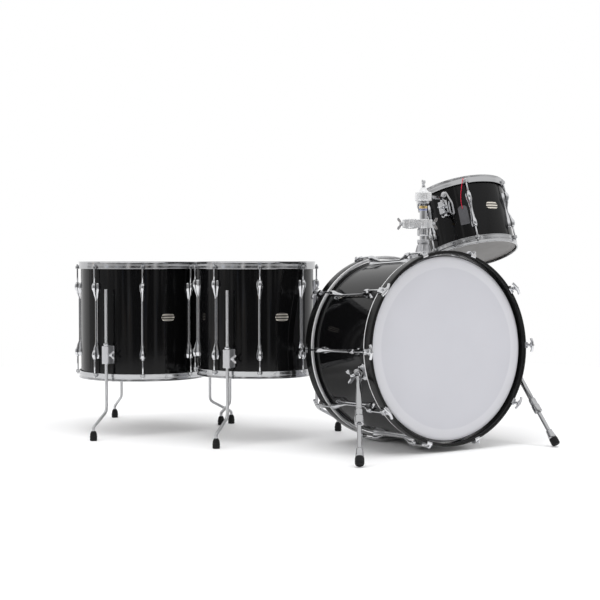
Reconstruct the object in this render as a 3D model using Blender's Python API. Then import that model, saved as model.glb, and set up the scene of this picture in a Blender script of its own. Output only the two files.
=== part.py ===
"""Drum kit: a bass drum that carries a rack tom on a post, and two floor toms on legs.

Metres, +Z up. The audience is towards -Y and its right is +X. The origin is on the
floor, under the middle of the kit.
"""
import math

import bmesh
import bpy
from mathutils import Matrix, Vector

INCH = 0.0254
GAP = 0.0003
UP = Vector((0, 0, 1))

# Sizes of the four drums: diameter by depth, in the inches that drums are sold in.
BASS_DIAMETER, BASS_DEPTH = 24 * INCH, 14 * INCH
FLOOR_TOM_1_DIAMETER, FLOOR_TOM_1_DEPTH = 18 * INCH, 16 * INCH
FLOOR_TOM_2_DIAMETER, FLOOR_TOM_2_DEPTH = 16 * INCH, 15 * INCH
RACK_TOM_DIAMETER, RACK_TOM_DEPTH = 12 * INCH, 9 * INCH
UNDERSIZE = 0.0012          # a shell's radius is this much under its nominal one
BASS_RADIUS = BASS_DIAMETER / 2 - 0.0032

# Where each drum stands.
FLOOR_TOM_1_AT = Vector((-0.5976, 0.2744, 0))
FLOOR_TOM_2_AT = Vector((-0.1726, 0.0789, 0))
FLOOR_TOM_RIM_HEIGHT = 0.6175
BASS_FRONT_AT = Vector((0.4744, -0.2661, 0))
BASS_YAW = math.radians(30.5)
BASS_TILT = math.radians(2.4)
RACK_TOM_AT = Vector((0.5734, 0.1069, 0.752))
RACK_TOM_TILT = math.radians(18.9)
LEFT_SPUR_TIP = Vector((0.1604, -0.5836, 0))
RIGHT_SPUR_TIP = Vector((0.8354, -0.1826, 0))

# Tom construction, shared by the three toms.
SHELL_WALL = 0.0075
FILM = 0.001
HEAD_DOME = 0.0004             # of the bottom heads and the rack tom's top head
FLESH_DROP, FLESH_HEIGHT = 0.005, 0.006
FLESH_INNER, FLESH_OUTER = 0.0012, 0.0053
RIM_RISE = 0.008            # a hoop's rim above its bearing edge
HOOP_HEIGHT = 0.0265
HOOP_FLANGE, HOOP_INNER, HOOP_OUTER = 0.0028, 0.0058, 0.0080
EAR_OUT, EAR_WIDTH, EAR_HEIGHT = 0.0195, 0.017, 0.010
ROD_OUT, ROD_RADIUS = 0.0125, 0.0030
ROD_HEAD_HEIGHT = 0.0065     # of rod and head above the ear
TOM_LUG_ENDS = ((0.0, 0.016, 0.0190), (0.018, 0.022, 0.0235), (0.052, 0.011, 0.0095))
FLOOR_TOM_LUG_LENGTH = 0.268
RACK_TOM_LUG_LENGTH = 0.126
FLOOR_TOM_LUGS, RACK_TOM_LUGS, BASS_LUGS = 8, 6, 10
FLOOR_TOM_SIDES, RACK_TOM_SIDES, BASS_SIDES = 32, 32, 40

# Floor tom legs.
LEG_RADIUS, LEG_OUT, LEG_TOP = 0.0056, 0.030, 0.520
LEG_ELBOW, LEG_ANKLE, LEG_REACH = 0.092, 0.046, 0.085
LEG_BEND_RADIUS = 0.026
LEG_ANGLES = {"a": -22.5, "b": 112, "c": -153}   # from the audience's side, towards +X
FOOT_RADIUS, FOOT_HEIGHT, FOOT_SOCKET = 0.0135, 0.034, 0.020
CLAMP_WIDTH, CLAMP_HEIGHT, CLAMP_OUT, CLAMP_LEVEL = 0.026, 0.062, 0.041, 0.290
BOLT_RADIUS, BOLT_SIDES = 0.0030, 6

# Bass drum hoops, heads and claws.
WOOD_HOOP_RADIUS, WOOD_HOOP_WALL, WOOD_HOOP_WIDTH = 0.318, 0.0105, 0.036
WOOD_HOOP_RISE = 0.020      # the hoop's face beyond the shell's edge
STEEL_RIM_WIDTH = 0.004
CLAW_ROD_OUT, CLAW_WIDTH, CLAW_THICK = 0.0090, 0.020, 0.003
BASS_LUG_LENGTH = 0.236
BASS_LUG_ENDS = ((0.0, 0.018, 0.0305), (0.020, 0.025, 0.0300), (0.056, 0.012, 0.0110))
T_HANDLE_ANGLES = (0, 36, 144, 180, 216, 324)
T_HANDLE_LENGTH, T_HANDLE_STANDOFF = 0.044, 0.020
CLAW_ROD_RADIUS = 0.0033

# Spurs.
SPUR_SETBACK, SPUR_DROP = 0.070, math.radians(12.4)
SPUR_PLATE_RADIUS, SPUR_PLATE_THICK, SPUR_BOSS_THICK = 0.027, 0.006, 0.008
KNUCKLE_RADIUS, KNUCKLE_THICK, SPUR_PIN_RADIUS = 0.0175, 0.016, 0.005
SPUR_TUBE_RADIUS, SPUR_SLEEVE_RADIUS = 0.0095, 0.0142
SPUR_SLEEVE_START, SPUR_SLEEVE_END = 0.137, 0.188
SPUR_ROD_RADIUS, SPUR_ROD_START = 0.0072, 0.085
SPUR_BORE = 0.0078
SPUR_CONE_LENGTH, SPUR_TIP_LENGTH, SPUR_TIP_RADIUS = 0.038, 0.026, 0.0145

# Tom holder.
POST_SETBACK = 0.143
POST_RADIUS, POST_SIDES = 0.0127, 12
POST_BELOW, POST_TOP, COLLAR_ABOVE_BASE = 0.160, 0.8186, 0.012
BASE_TOP, CLAMP_BOTTOM, CLAMP_TOP = 0.690, 0.727, 0.7585
HOUSING_RADIUS, HOUSING_HEIGHT, HOUSING_LID = 0.0285, 0.029, 0.016
BALL_RADIUS, BALL_SOCKET_RADIUS = 0.0110, 0.0129
MOUTH_WIDTH, MOUTH_HEIGHT = 0.019, 0.025
ARM_RADIUS, ARM_OFF_SHELL, ARM_ANGLE = 0.0063, 0.028, -28.6
ARM_LEVEL, ARM_BELOW = 0.057, 0.010
BRACKET_WIDTH, BRACKET_LOW, BRACKET_NOSE_TOP, BRACKET_TOP = 0.050, -0.002, 0.043, 0.085
BRACKET_NOSE_WIDTH, BRACKET_NOSE_OUT, BRACKET_SLOT = 0.032, 0.041, 0.0067

# Hang tag on the rack tom.
STRING_RADIUS, TAG_WIDTH, TAG_LENGTH, TAG_THICK, TAG_OFF_SHELL = 0.0011, 0.032, 0.068, 0.0012, 0.0012
# The string's route on the rack tom: off the shell, degrees from the audience's side, height.
# Its last points lie on the face of the tag.
STRING_ROUTE = ((0.0168, -1.0, 0.1112), (0.0186, -1.6, 0.1100), (0.0206, -2.2, 0.1080),
                (0.0211, -2.8, 0.1030), (0.0211, -3.4, 0.0980), (0.0209, -4.0, 0.0928),
                (0.0196, -4.6, 0.0876), (0.0178, -5.2, 0.0824), (0.0159, -5.8, 0.0772),
                (0.0140, -6.4, 0.0720), (0.0121, -7.0, 0.0668), (0.0102, -7.6, 0.0614),
                (0.0083, -8.1, 0.0558), (0.0067, -8.6, 0.0500), (0.0054, -9.0, 0.0440),
                (0.0046, -9.3, 0.0380), (0.0042, -9.5, 0.0320), (0.0041, -9.6, 0.0260),
                (0.0040, -9.6, 0.0200), (0.0040, -9.6, 0.0142), (0.0040, -9.6, 0.0085))
TAG_TOP = 0.0197

CHROME = ("chrome", (0.80, 0.81, 0.82), 0.12, 1.0)
LACQUER = ("black_lacquer", (0.006, 0.006, 0.007), 0.05, 0.0)
HOOP_BLACK = ("black_hoop", (0.010, 0.010, 0.010), 0.10, 0.0)
COATED = ("coated_film", (0.82, 0.82, 0.84), 0.55, 0.0)
CLEAR = ("smoky_film", (0.24, 0.23, 0.23), 0.25, 0.0)
RUBBER = ("rubber", (0.015, 0.015, 0.015), 0.75, 0.0)
TAG_CARD = ("tag_card", (0.05, 0.05, 0.06), 0.45, 0.0)
RED_STRING = ("red_string", (0.55, 0.01, 0.03), 0.8, 0.0)


# Solids: each is a list of points and a list of faces.

def polar(radius, degrees, z=0.0):
    """Point at an angle from +X about the Z axis."""
    turn = math.radians(degrees)
    return Vector((radius * math.cos(turn), radius * math.sin(turn), z))


def turned(profile, sides, phase=0.0):
    """Closed (radius, z) profile turned about Z; points at radius 0 lie on the axis."""
    rows, points, faces = [], [], []
    for radius, z in profile:
        if radius == 0:
            rows.append([len(points)] * sides)
            points.append(Vector((0, 0, z)))
            continue
        rows.append(list(range(len(points), len(points) + sides)))
        points += [polar(radius, phase + 360 * i / sides, z) for i in range(sides)]
    for row, upper in enumerate(rows):
        lower = rows[(row + 1) % len(rows)]
        for i in range(sides):
            j = (i + 1) % sides
            face = list(dict.fromkeys((upper[i], upper[j], lower[j], lower[i])))
            if len(face) > 2:
                faces.append(face)
    return points, faces


def clearing(radius, sides):
    """Radius of a many-sided hole whose flats stay clear of a round bar."""
    return (radius + GAP) / math.cos(math.pi / sides)


def lofted(rings):
    """Rings of equal count joined in turn, with both ends closed."""
    count = len(rings[0])
    points = [point for ring in rings for point in ring]
    faces = [list(range(count)), list(range(len(points) - count, len(points)))]
    for start in range(0, len(points) - count, count):
        for i in range(count):
            j = (i + 1) % count
            faces.append([start + i, start + j, start + count + j, start + count + i])
    return points, faces


def block(low, high):
    """Box between two corners."""
    rings = [[Vector((x, y, z)) for x, y in ((low[0], low[1]), (high[0], low[1]), (high[0], high[1]),
                                             (low[0], high[1]))] for z in (low[2], high[2])]
    return lofted(rings)


def plug(radius, low, high, sides):
    """Round bar on the Z axis, mostly used to cut a hole."""
    return turned([(0, high), (radius, high), (radius, low), (0, low)], sides)


def swept(path, radius, sides):
    """Round bar of one radius along a path of points."""
    rings = []
    side = (path[1] - path[0]).orthogonal().normalized()
    for i, point in enumerate(path):
        ahead = (path[min(i + 1, len(path) - 1)] - path[max(i - 1, 0)]).normalized()
        side = (side - ahead * side.dot(ahead)).normalized()
        across = ahead.cross(side)
        turns = [2 * math.pi * k / sides for k in range(sides)]
        rings.append([point + radius * (side * math.cos(t) + across * math.sin(t)) for t in turns])
    return lofted(rings)


def rounded_path(corners, radius, steps):
    """Corners joined by straight runs, each inner corner rounded to the radius."""
    path = [corners[0]]
    for before, corner, after in zip(corners, corners[1:], corners[2:]):
        back, ahead = (before - corner).normalized(), (after - corner).normalized()
        half = back.angle(ahead) / 2
        centre = corner + (back + ahead).normalized() * radius / math.sin(half)
        first = (corner + back * radius / math.tan(half) - centre).normalized()
        last = (corner + ahead * radius / math.tan(half) - centre).normalized()
        path += [centre + radius * first.slerp(last, k / steps) for k in range(steps + 1)]
    return path + [corners[-1]]


def moved(solid, matrix):
    """The solid carried by a matrix."""
    points, faces = solid
    return [matrix @ point for point in points], faces


def gathered(solids):
    """Several solids in one list, still separate from each other."""
    points, faces = [], []
    for more_points, more_faces in solids:
        faces += [[len(points) + i for i in face] for face in more_faces]
        points += more_points
    return points, faces


def along(start, direction):
    """Frame at a point with +Z along a direction."""
    turn = direction.normalized().to_track_quat("Z", "Y")
    return Matrix.Translation(start) @ turn.to_matrix().to_4x4()


def spun(degrees):
    """Turn about the Z axis."""
    return Matrix.Rotation(math.radians(degrees), 4, "Z")


# Scene objects.

def material(finish):
    """The finish's Principled material, made once."""
    name, colour, roughness, metallic = finish
    if name in bpy.data.materials:
        return bpy.data.materials[name]
    made = bpy.data.materials.new(name)
    made.use_nodes = True
    made.diffuse_color = (*colour, 1)
    shader = made.node_tree.nodes["Principled BSDF"]
    shader.inputs["Base Color"].default_value = (*colour, 1)
    shader.inputs["Roughness"].default_value = roughness
    shader.inputs["Metallic"].default_value = metallic
    return made


def mesh_of(name, solid, finish):
    """Mesh of a solid with its faces pointing out."""
    points, faces = solid
    mesh = bpy.data.meshes.new(name)
    mesh.from_pydata([tuple(point) for point in points], [], faces)
    work = bmesh.new()
    work.from_mesh(mesh)
    bmesh.ops.recalc_face_normals(work, faces=work.faces)
    if work.calc_volume(signed=True) < 0:
        bmesh.ops.reverse_faces(work, faces=work.faces)
    work.to_mesh(mesh)
    work.free()
    mesh.materials.append(material(finish))
    mesh.shade_smooth()
    mesh.set_sharp_from_angle(angle=math.radians(32))
    return mesh


def piece(name, solid, finish, frame, pivot=(0, 0, 0), add=(), cut=()):
    """One node: a solid in its drum's frame, with its origin at the pivot."""
    pivot = Matrix.Translation(Vector(pivot))
    made = bpy.data.objects.new(name, mesh_of(name, moved(solid, pivot.inverted()), finish))
    bpy.context.collection.objects.link(made)
    made.parent = frame
    made.matrix_local = pivot
    steps = [("UNION", extra) for extra in add] + [("DIFFERENCE", extra) for extra in cut]
    for number, (operation, extra) in enumerate(steps):
        guide_name = f"{name}_guide_{number}"
        guide = bpy.data.objects.new(guide_name, mesh_of(guide_name, extra, finish))
        bpy.context.collection.objects.link(guide)
        guide.parent = frame
        guide.hide_render = True
        guide.display_type = "WIRE"
        step = made.modifiers.new(guide_name, "BOOLEAN")
        step.operation = operation
        step.object = guide
    return made


def drum_frame(name, matrix):
    """Empty that carries a drum's pieces."""
    frame = bpy.data.objects.new(name, None)
    bpy.context.collection.objects.link(frame)
    frame.matrix_world = matrix
    return frame


# Parts that repeat.

def ball_solid(radius):
    """Ball in eight bands, coarse enough for a joint that is mostly hidden."""
    slant = radius * math.sqrt(0.5)
    return turned([(0, radius), (slant, slant), (radius, 0), (slant, -slant), (0, -radius)], 12)


def lug(shell_radius, length, ends):
    """Long lug on the +X side: a swollen post at each end and a slim bar between."""
    rows = [(-length / 2 + inset, width, height) for inset, width, height in ends]
    rows += [(-z, width, height) for z, width, height in reversed(rows)]
    rings = []
    for z, width, height in rows:
        half, foot, top = width / 2, shell_radius - 0.003, shell_radius + height
        shoulder = shell_radius + 0.45 * height
        outline = ((foot, -half), (shoulder, -half), (top, -0.3 * half), (top, 0.3 * half), (shoulder, half),
                   (foot, half))
        rings.append([Vector((x, y, z)) for x, y in outline])
    return lofted(rings)


def bolt_hole(depth):
    """Cutter for a wing bolt's hole, below z = 0."""
    return plug(clearing(BOLT_RADIUS, BOLT_SIDES), -depth, 0.01, BOLT_SIDES)


def wing_bolt(shaft, hub, wings=0.030, grip=0.016):
    """Wing bolt along +Z: its shaft lies below z = 0, its hub and two wings above."""
    stem = turned([(0, hub + 0.004), (0.0062, 0), (BOLT_RADIUS, 0), (BOLT_RADIUS, -shaft),
                   (0, -shaft)], BOLT_SIDES)
    half, root = wings / 2, 0.004
    outline = [(-half, hub + 0.6 * grip), (-half * 0.8, hub + grip), (-root, hub + 0.2 * grip),
               (root, hub + 0.2 * grip), (half * 0.8, hub + grip), (half, hub + 0.6 * grip),
               (root, 0.002), (-root, 0.002)]
    blades = lofted([[Vector((x, y, z)) for x, z in outline] for y in (-0.0021, 0.0021)])
    return stem, blades


def add_wing_bolt(name, seat, direction, shaft, hub, frame, turn=0, **sizes):
    """Wing bolt node whose hub sits on the seat and whose shaft goes back from it."""
    stem, blades = wing_bolt(shaft, hub, **sizes)
    place = along(seat, direction) @ spun(turn)
    return piece(name, moved(stem, place), CHROME, frame, seat, add=[moved(blades, place)])


def tom_shell_solid(radius, depth, sides, phase):
    """Open shell, cut at 45 degrees inside each end to leave a bearing edge."""
    inner, half = radius - SHELL_WALL, depth / 2
    profile = [(radius, half), (radius, -half), (inner, -half + SHELL_WALL), (inner, half - SHELL_WALL)]
    return turned(profile, sides, phase)


def tom_head_solid(radius, half, sides, phase, dome):
    """Film over the bearing edge, with its flesh hoop round the shell; its middle stands up by the dome."""
    film, drop = half + GAP, half - FLESH_DROP
    profile = [(0, film + FILM + dome), (radius - 0.001, film + FILM), (radius + 0.0020, drop),
               (radius + FLESH_OUTER, drop), (radius + FLESH_OUTER, drop - FLESH_HEIGHT),
               (radius + FLESH_INNER, drop - FLESH_HEIGHT), (radius + 0.0006, film), (0, film + dome)]
    return turned(profile, sides, phase)


def tom_hoop_solid(radius, half, sides, phase):
    """Deep flat band with a flange that presses on the flesh hoop."""
    top, flange = half + RIM_RISE, half - FLESH_DROP + GAP
    bottom = top - HOOP_HEIGHT
    profile = [(radius + HOOP_FLANGE, top), (radius + HOOP_OUTER, top), (radius + HOOP_OUTER, bottom),
               (radius + HOOP_INNER, bottom), (radius + HOOP_INNER, flange), (radius + HOOP_FLANGE, flange)]
    return turned(profile, sides, phase)


def tom_rods(radius, half, lug_length, angles):
    """Ears on the hoop, and the tension rods that run from them to the lugs."""
    bottom = half + RIM_RISE - HOOP_HEIGHT
    ear_top, rod_end = bottom + EAR_HEIGHT, lug_length / 2 + GAP
    ear = block((radius + HOOP_INNER + 0.0004, -EAR_WIDTH / 2, bottom),
                (radius + EAR_OUT, EAR_WIDTH / 2, ear_top))
    rod_top = Vector((radius + ROD_OUT, 0, ear_top + ROD_HEAD_HEIGHT))
    rod = swept([rod_top, Vector((rod_top.x, 0, rod_end))], ROD_RADIUS, 6)
    ears = gathered([moved(ear, spun(angle)) for angle in angles])
    rods = gathered([moved(rod, spun(angle)) for angle in angles])
    return ears, rods


def make_tom(name, frame, diameter, depth, lug_count, lug_length, sides, first_lug, top_dome=0.0,
             shell_add=(), shell_cut=()):
    """Shell with its lugs, two heads and two hoops with their rods."""
    radius, half = diameter / 2 - UNDERSIZE, depth / 2
    angles = [first_lug + 360 * k / lug_count for k in range(lug_count)]
    lugs = gathered([moved(lug(radius, lug_length, TOM_LUG_ENDS), spun(angle)) for angle in angles])
    piece(f"{name}_shell", tom_shell_solid(radius, depth, sides, first_lug), LACQUER, frame,
          add=[lugs, *shell_add], cut=shell_cut)
    hoop = tom_hoop_solid(radius, half, sides, first_lug)
    ears, rods = tom_rods(radius, half, lug_length, angles)
    upside_down = Matrix.Scale(-1, 4, UP)
    for end, turn, film, dome in (("top", Matrix.Identity(4), COATED, top_dome),
                                  ("bottom", upside_down, CLEAR, HEAD_DOME)):
        head = tom_head_solid(radius, half, sides, first_lug, dome)
        piece(f"{name}_{end}_head", moved(head, turn), film, frame)
        piece(f"{name}_{end}_hoop", moved(hoop, turn), CHROME, frame,
              add=[moved(ears, turn), moved(rods, turn)])
    return radius


# Floor toms.

def leg_solid(radius):
    """Leg on the +X side: upright, then an elbow out and an ankle down into its foot."""
    upright, foot = radius + LEG_OUT, radius + LEG_OUT + LEG_REACH
    corners = [Vector((upright, 0, LEG_TOP)), Vector((upright, 0, LEG_ELBOW)), Vector((foot, 0, LEG_ANKLE)),
               Vector((foot, 0, FOOT_HEIGHT - FOOT_SOCKET + GAP))]
    lower = rounded_path(corners[1:], 0.012, 2)
    upper = rounded_path(corners[:3], LEG_BEND_RADIUS, 3)
    return swept(upper[:-1] + lower[1:], LEG_RADIUS, 8)


def foot_solid(radius):
    """Rubber foot with a blind socket for the leg."""
    socket, hole = FOOT_HEIGHT - FOOT_SOCKET, clearing(LEG_RADIUS, 8)
    profile = [(0, 0), (0.8 * FOOT_RADIUS, 0), (FOOT_RADIUS, 0.003), (0.95 * FOOT_RADIUS, 0.6 * FOOT_HEIGHT),
               (0.7 * FOOT_RADIUS, FOOT_HEIGHT), (hole, FOOT_HEIGHT), (hole, socket), (0, socket)]
    return moved(turned(profile, 8), Matrix.Translation((radius + LEG_OUT + LEG_REACH, 0, 0)))


def make_floor_tom(name, at, diameter, depth, first_lug):
    """Floor tom on three legs. Its frame is on the floor, and the shell's middle is above it."""
    radius, middle = diameter / 2 - UNDERSIZE, FLOOR_TOM_RIM_HEIGHT - RIM_RISE - depth / 2
    ground = drum_frame(f"{name}_ground", Matrix.Translation(at))
    frame = drum_frame(f"{name}_frame", Matrix.Translation(at + UP * middle))
    level, upright = CLAMP_LEVEL - middle, radius + LEG_OUT
    clamp = block((radius - 0.004, -CLAMP_WIDTH / 2, level - CLAMP_HEIGHT / 2),
                  (radius + CLAMP_OUT, CLAMP_WIDTH / 2, level + CLAMP_HEIGHT / 2))
    bore = moved(plug(clearing(LEG_RADIUS, 8), -0.04, 0.04, 8), Matrix.Translation((upright, 0, level)))
    seat = Vector((upright, CLAMP_WIDTH / 2, level))
    hole = moved(bolt_hole(CLAMP_WIDTH / 2 - 0.0035), along(seat, Vector((0, 1, 0))))
    turns = {leg: spun(angle - 90) for leg, angle in LEG_ANGLES.items()}
    repeat = [gathered([moved(solid, turn) for turn in turns.values()]) for solid in (clamp, bore, hole)]
    make_tom(name, frame, diameter, depth, FLOOR_TOM_LUGS, FLOOR_TOM_LUG_LENGTH, FLOOR_TOM_SIDES,
             first_lug - 90, shell_add=repeat[:1], shell_cut=repeat[1:])
    for leg, turn in turns.items():
        top = turn @ Vector((upright, 0, LEG_TOP))
        piece(f"{name}_leg_{leg}", moved(leg_solid(radius), turn), CHROME, ground, top)
        piece(f"{name}_foot_{leg}", moved(foot_solid(radius), turn), RUBBER, ground, top)
        shaft = CLAMP_WIDTH / 2 - LEG_RADIUS - GAP
        add_wing_bolt(f"{name}_bolt_{leg}", turn @ (seat + Vector((0, GAP, 0))), turn @ Vector((0, 1, 0)),
                      shaft, 0.008, frame, 90, wings=0.030, grip=0.013)


# Bass drum. Its frame has +Z towards the audience and +Y up.

def bass_matrix():
    """Frame at the middle of the shell, with the rear hoop's low edge on the floor."""
    front = Vector((math.sin(BASS_YAW) * math.cos(BASS_TILT), -math.cos(BASS_YAW) * math.cos(BASS_TILT),
                    math.sin(BASS_TILT)))
    across = Vector((math.cos(BASS_YAW), math.sin(BASS_YAW), 0))
    half = BASS_DEPTH / 2 + WOOD_HOOP_RISE
    middle = BASS_FRONT_AT - front * half
    middle.z = WOOD_HOOP_RADIUS * math.cos(BASS_TILT) + half * math.sin(BASS_TILT)
    turn = Matrix((across, front.cross(across), front)).transposed()
    return Matrix.Translation(middle) @ turn.to_4x4()


def bass_head_solid(radius, half):
    """Coated film, its flesh hoop inside the wood hoop, and a steel rim behind that hoop."""
    film, behind = half + GAP, half + WOOD_HOOP_RISE - WOOD_HOOP_WIDTH - GAP
    inside = WOOD_HOOP_RADIUS - WOOD_HOOP_WALL - 0.0008
    rim, rim_back = WOOD_HOOP_RADIUS - 0.001, behind - STEEL_RIM_WIDTH
    profile = [(0, film + FILM), (inside, film + FILM), (inside, behind), (rim, behind), (rim, rim_back),
               (radius + 0.0015, rim_back), (radius + 0.0010, film), (0, film)]
    return turned(profile, BASS_SIDES)


def claw_solids(half, with_handle):
    """Claw over the hoop on the +X side, its rod down to the lug, and a handle where it has one."""
    face, outer = half + WOOD_HOOP_RISE, WOOD_HOOP_RADIUS
    rod_at, wide = outer + CLAW_ROD_OUT, CLAW_WIDTH / 2
    outline = [(outer - 0.007, face - 0.0010), (outer - 0.007, face + CLAW_THICK),
               (outer + 0.004, face + CLAW_THICK), (rod_at + 0.0038, face - 0.005),
               (rod_at + 0.0038, face - 0.024), (outer - 0.002, face - 0.024)]
    claw = lofted([[Vector((x, y, z)) for x, z in outline] for y in (-wide, wide)])
    rod_end, rod_top = BASS_LUG_LENGTH / 2 + GAP, face + (T_HANDLE_STANDOFF if with_handle else 0.009)
    rod = swept([Vector((rod_at, 0, rod_top)), Vector((rod_at, 0, rod_end))], CLAW_ROD_RADIUS, 6)
    handle = block((rod_at - 0.0045, -T_HANDLE_LENGTH / 2, rod_top - 0.004),
                   (rod_at + 0.0045, T_HANDLE_LENGTH / 2, rod_top + 0.005))
    return claw, rod, handle


def bass_hoop_solids(half):
    """Wood hoop, and the claws, rods and handles that it carries."""
    face, back = half + WOOD_HOOP_RISE, half + WOOD_HOOP_RISE - WOOD_HOOP_WIDTH
    outer, inner = WOOD_HOOP_RADIUS, WOOD_HOOP_RADIUS - WOOD_HOOP_WALL
    hoop = turned([(outer, face), (outer, back), (inner, back), (inner, face)], BASS_SIDES)
    claws, rods, handles = [], [], []
    for k in range(BASS_LUGS):
        angle = 360 // BASS_LUGS * k
        claw, rod, handle = claw_solids(half, angle in T_HANDLE_ANGLES)
        claws.append(moved(claw, spun(angle)))
        rods.append(moved(rod, spun(angle)))
        if angle in T_HANDLE_ANGLES:
            handles.append(moved(handle, spun(angle)))
    return hoop, [gathered(claws), gathered(rods), gathered(handles)]


def make_bass_drum(frame):
    """Shell with lugs, two heads, and two wood hoops with claws."""
    radius, half = BASS_RADIUS, BASS_DEPTH / 2
    lugs = gathered([moved(lug(radius, BASS_LUG_LENGTH, BASS_LUG_ENDS), spun(360 / BASS_LUGS * k))
                     for k in range(BASS_LUGS)])
    post_hole = plug(POST_RADIUS + 0.002, -0.05, 0.05, 12)
    post_hole = moved(post_hole, frame.matrix_world.inverted() @ along(post_foot(frame, radius), UP))
    piece("bass_shell", tom_shell_solid(radius, BASS_DEPTH, BASS_SIDES, 0), LACQUER, frame, add=[lugs],
          cut=[post_hole])
    hoop, fittings = bass_hoop_solids(half)
    head = bass_head_solid(radius, half)
    turned_round = Matrix.Rotation(math.pi, 4, "Y")
    for end, turn in (("front", Matrix.Identity(4)), ("rear", turned_round)):
        piece(f"bass_{end}_head", moved(head, turn), COATED, frame)
        piece(f"bass_{end}_hoop", moved(hoop, turn), HOOP_BLACK, frame,
              add=[moved(part, turn) for part in fittings])
    return radius


# Spurs.

def make_spur(side, frame, radius, tip):
    """Spur on one side of the bass drum: bracket, folding tube, sliding rod, rubber tip and wing bolt."""
    angle = -math.degrees(SPUR_DROP) if side == "right" else 180 + math.degrees(SPUR_DROP)
    out = polar(1, angle)
    front = BASS_DEPTH / 2 + WOOD_HOOP_RISE - SPUR_SETBACK
    root = out * (radius + GAP) + UP * front
    boss_top = SPUR_PLATE_THICK + SPUR_BOSS_THICK
    pin_top = boss_top + KNUCKLE_THICK + 2 * GAP
    mount = along(root, out)
    bracket = turned([(0, pin_top), (SPUR_PIN_RADIUS, pin_top), (SPUR_PIN_RADIUS, boss_top),
                      (0.015, boss_top), (0.017, SPUR_PLATE_THICK), (SPUR_PLATE_RADIUS, SPUR_PLATE_THICK - 0.002),
                      (SPUR_PLATE_RADIUS, 0), (0, 0)], 16)
    piece(f"{side}_spur_bracket", moved(bracket, mount), CHROME, frame, root)
    pivot = root + out * (boss_top + GAP + KNUCKLE_THICK / 2)
    to_local = frame.matrix_world.inverted()
    end = to_local @ tip
    for _ in range(3):
        slope = (frame.matrix_world.to_3x3() @ (end - pivot)).normalized()
        end = to_local @ (tip + UP * SPUR_TIP_RADIUS * 0.85 * math.sqrt(1 - slope.z ** 2))
    reach = (end - pivot).length
    leg = along(pivot, end - pivot)
    thick = KNUCKLE_THICK / 2
    pin_hole = clearing(SPUR_PIN_RADIUS, 16)
    knuckle = turned([(KNUCKLE_RADIUS, thick), (KNUCKLE_RADIUS, -thick), (pin_hole, -thick),
                      (pin_hole, thick)], 16)
    tube = turned([(0, 0.060), (0, 0.014), (SPUR_TUBE_RADIUS, 0.014), (SPUR_TUBE_RADIUS, SPUR_SLEEVE_START),
                   (SPUR_SLEEVE_RADIUS, SPUR_SLEEVE_START + 0.004), (SPUR_SLEEVE_RADIUS, SPUR_SLEEVE_END),
                   (SPUR_BORE, SPUR_SLEEVE_END), (SPUR_BORE, 0.060)], 12)
    hinge = along(pivot, out)
    piece(f"{side}_spur_tube", moved(knuckle, hinge), CHROME, frame, pivot, add=[moved(tube, leg)],
          cut=[moved(plug(pin_hole, -0.05, 0.05, 16), hinge)])
    socket = reach - SPUR_TIP_LENGTH
    cone = socket - SPUR_CONE_LENGTH
    pin_end = socket + 0.012
    rod = turned([(0, SPUR_ROD_START), (SPUR_ROD_RADIUS, SPUR_ROD_START), (SPUR_ROD_RADIUS, cone),
                  (0.0115, cone + 0.008), (0.0135, socket - GAP), (0.005, socket - GAP),
                  (0.005, pin_end - GAP), (0, pin_end - GAP)], 12)
    piece(f"{side}_spur_rod", moved(rod, leg), CHROME, frame, pivot)
    foot = turned([(0.0053, socket), (SPUR_TIP_RADIUS, socket), (SPUR_TIP_RADIUS, reach - 0.004),
                   (0.85 * SPUR_TIP_RADIUS, reach), (0, reach), (0, pin_end), (0.0053, pin_end)], 12)
    piece(f"{side}_spur_foot", moved(foot, leg), RUBBER, frame, pivot)
    add_wing_bolt(f"{side}_spur_bolt", root + out * (pin_top + GAP), out, 0, 0.018, frame, wings=0.036)


# Tom holder. Its frame is upright, on the floor under the post.

def post_foot(frame, radius):
    """Point of the bass shell's top that the post stands over."""
    middle = Vector((0, 0, BASS_DEPTH / 2 + WOOD_HOOP_RISE - POST_SETBACK))
    return frame.matrix_world @ (middle + Vector((0, radius, 0)))


def make_holder(frame, bass_yaw, shell_top):
    """Base on the bass drum, sliding post, accessory clamp, and the housing that grips the tom's arm."""
    seat = shell_top + GAP
    bore = clearing(POST_RADIUS, POST_SIDES)
    base = turned([(bore, BASE_TOP), (0.0205, BASE_TOP), (0.0205, BASE_TOP - 0.010),
                   (0.018, BASE_TOP - 0.014), (0.021, seat + 0.016), (bore, seat + 0.016)], POST_SIDES)
    plate = block((-0.030, -0.034, seat + 0.001), (0.030, 0.034, seat + 0.018))
    rib = block((0.015, -0.002, seat + 0.014), (0.027, 0.002, BASE_TOP - 0.014))
    ribs = gathered([moved(rib, spun(45 + 90 * k)) for k in range(4)])
    through = plug(bore, seat - 0.05, BASE_TOP + 0.01, POST_SIDES)
    turn = spun(math.degrees(bass_yaw))
    saddle = moved(plug(BASS_RADIUS + GAP, -0.1, 0.1, BASS_SIDES),
                   frame.matrix_world.inverted() @ bass_matrix())
    piece("tom_mount_base", moved(plate, turn), CHROME, frame, add=[moved(base, turn), moved(ribs, turn)],
          cut=[moved(through, turn), saddle])
    collar, low, high = 0.020, BASE_TOP + COLLAR_ABOVE_BASE, CLAMP_BOTTOM - GAP
    sleeve, above = 0.0165, CLAMP_TOP + GAP
    post = turned([(0, POST_TOP), (0.021, POST_TOP), (sleeve, POST_TOP - 0.006), (sleeve, above),
                   (POST_RADIUS, above), (POST_RADIUS, high), (collar, high), (collar, low),
                   (POST_RADIUS, low), (POST_RADIUS, shell_top - POST_BELOW), (0, shell_top - POST_BELOW)],
                  POST_SIDES)
    piece("mount_post", post, CHROME, frame)
    return bore


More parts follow.
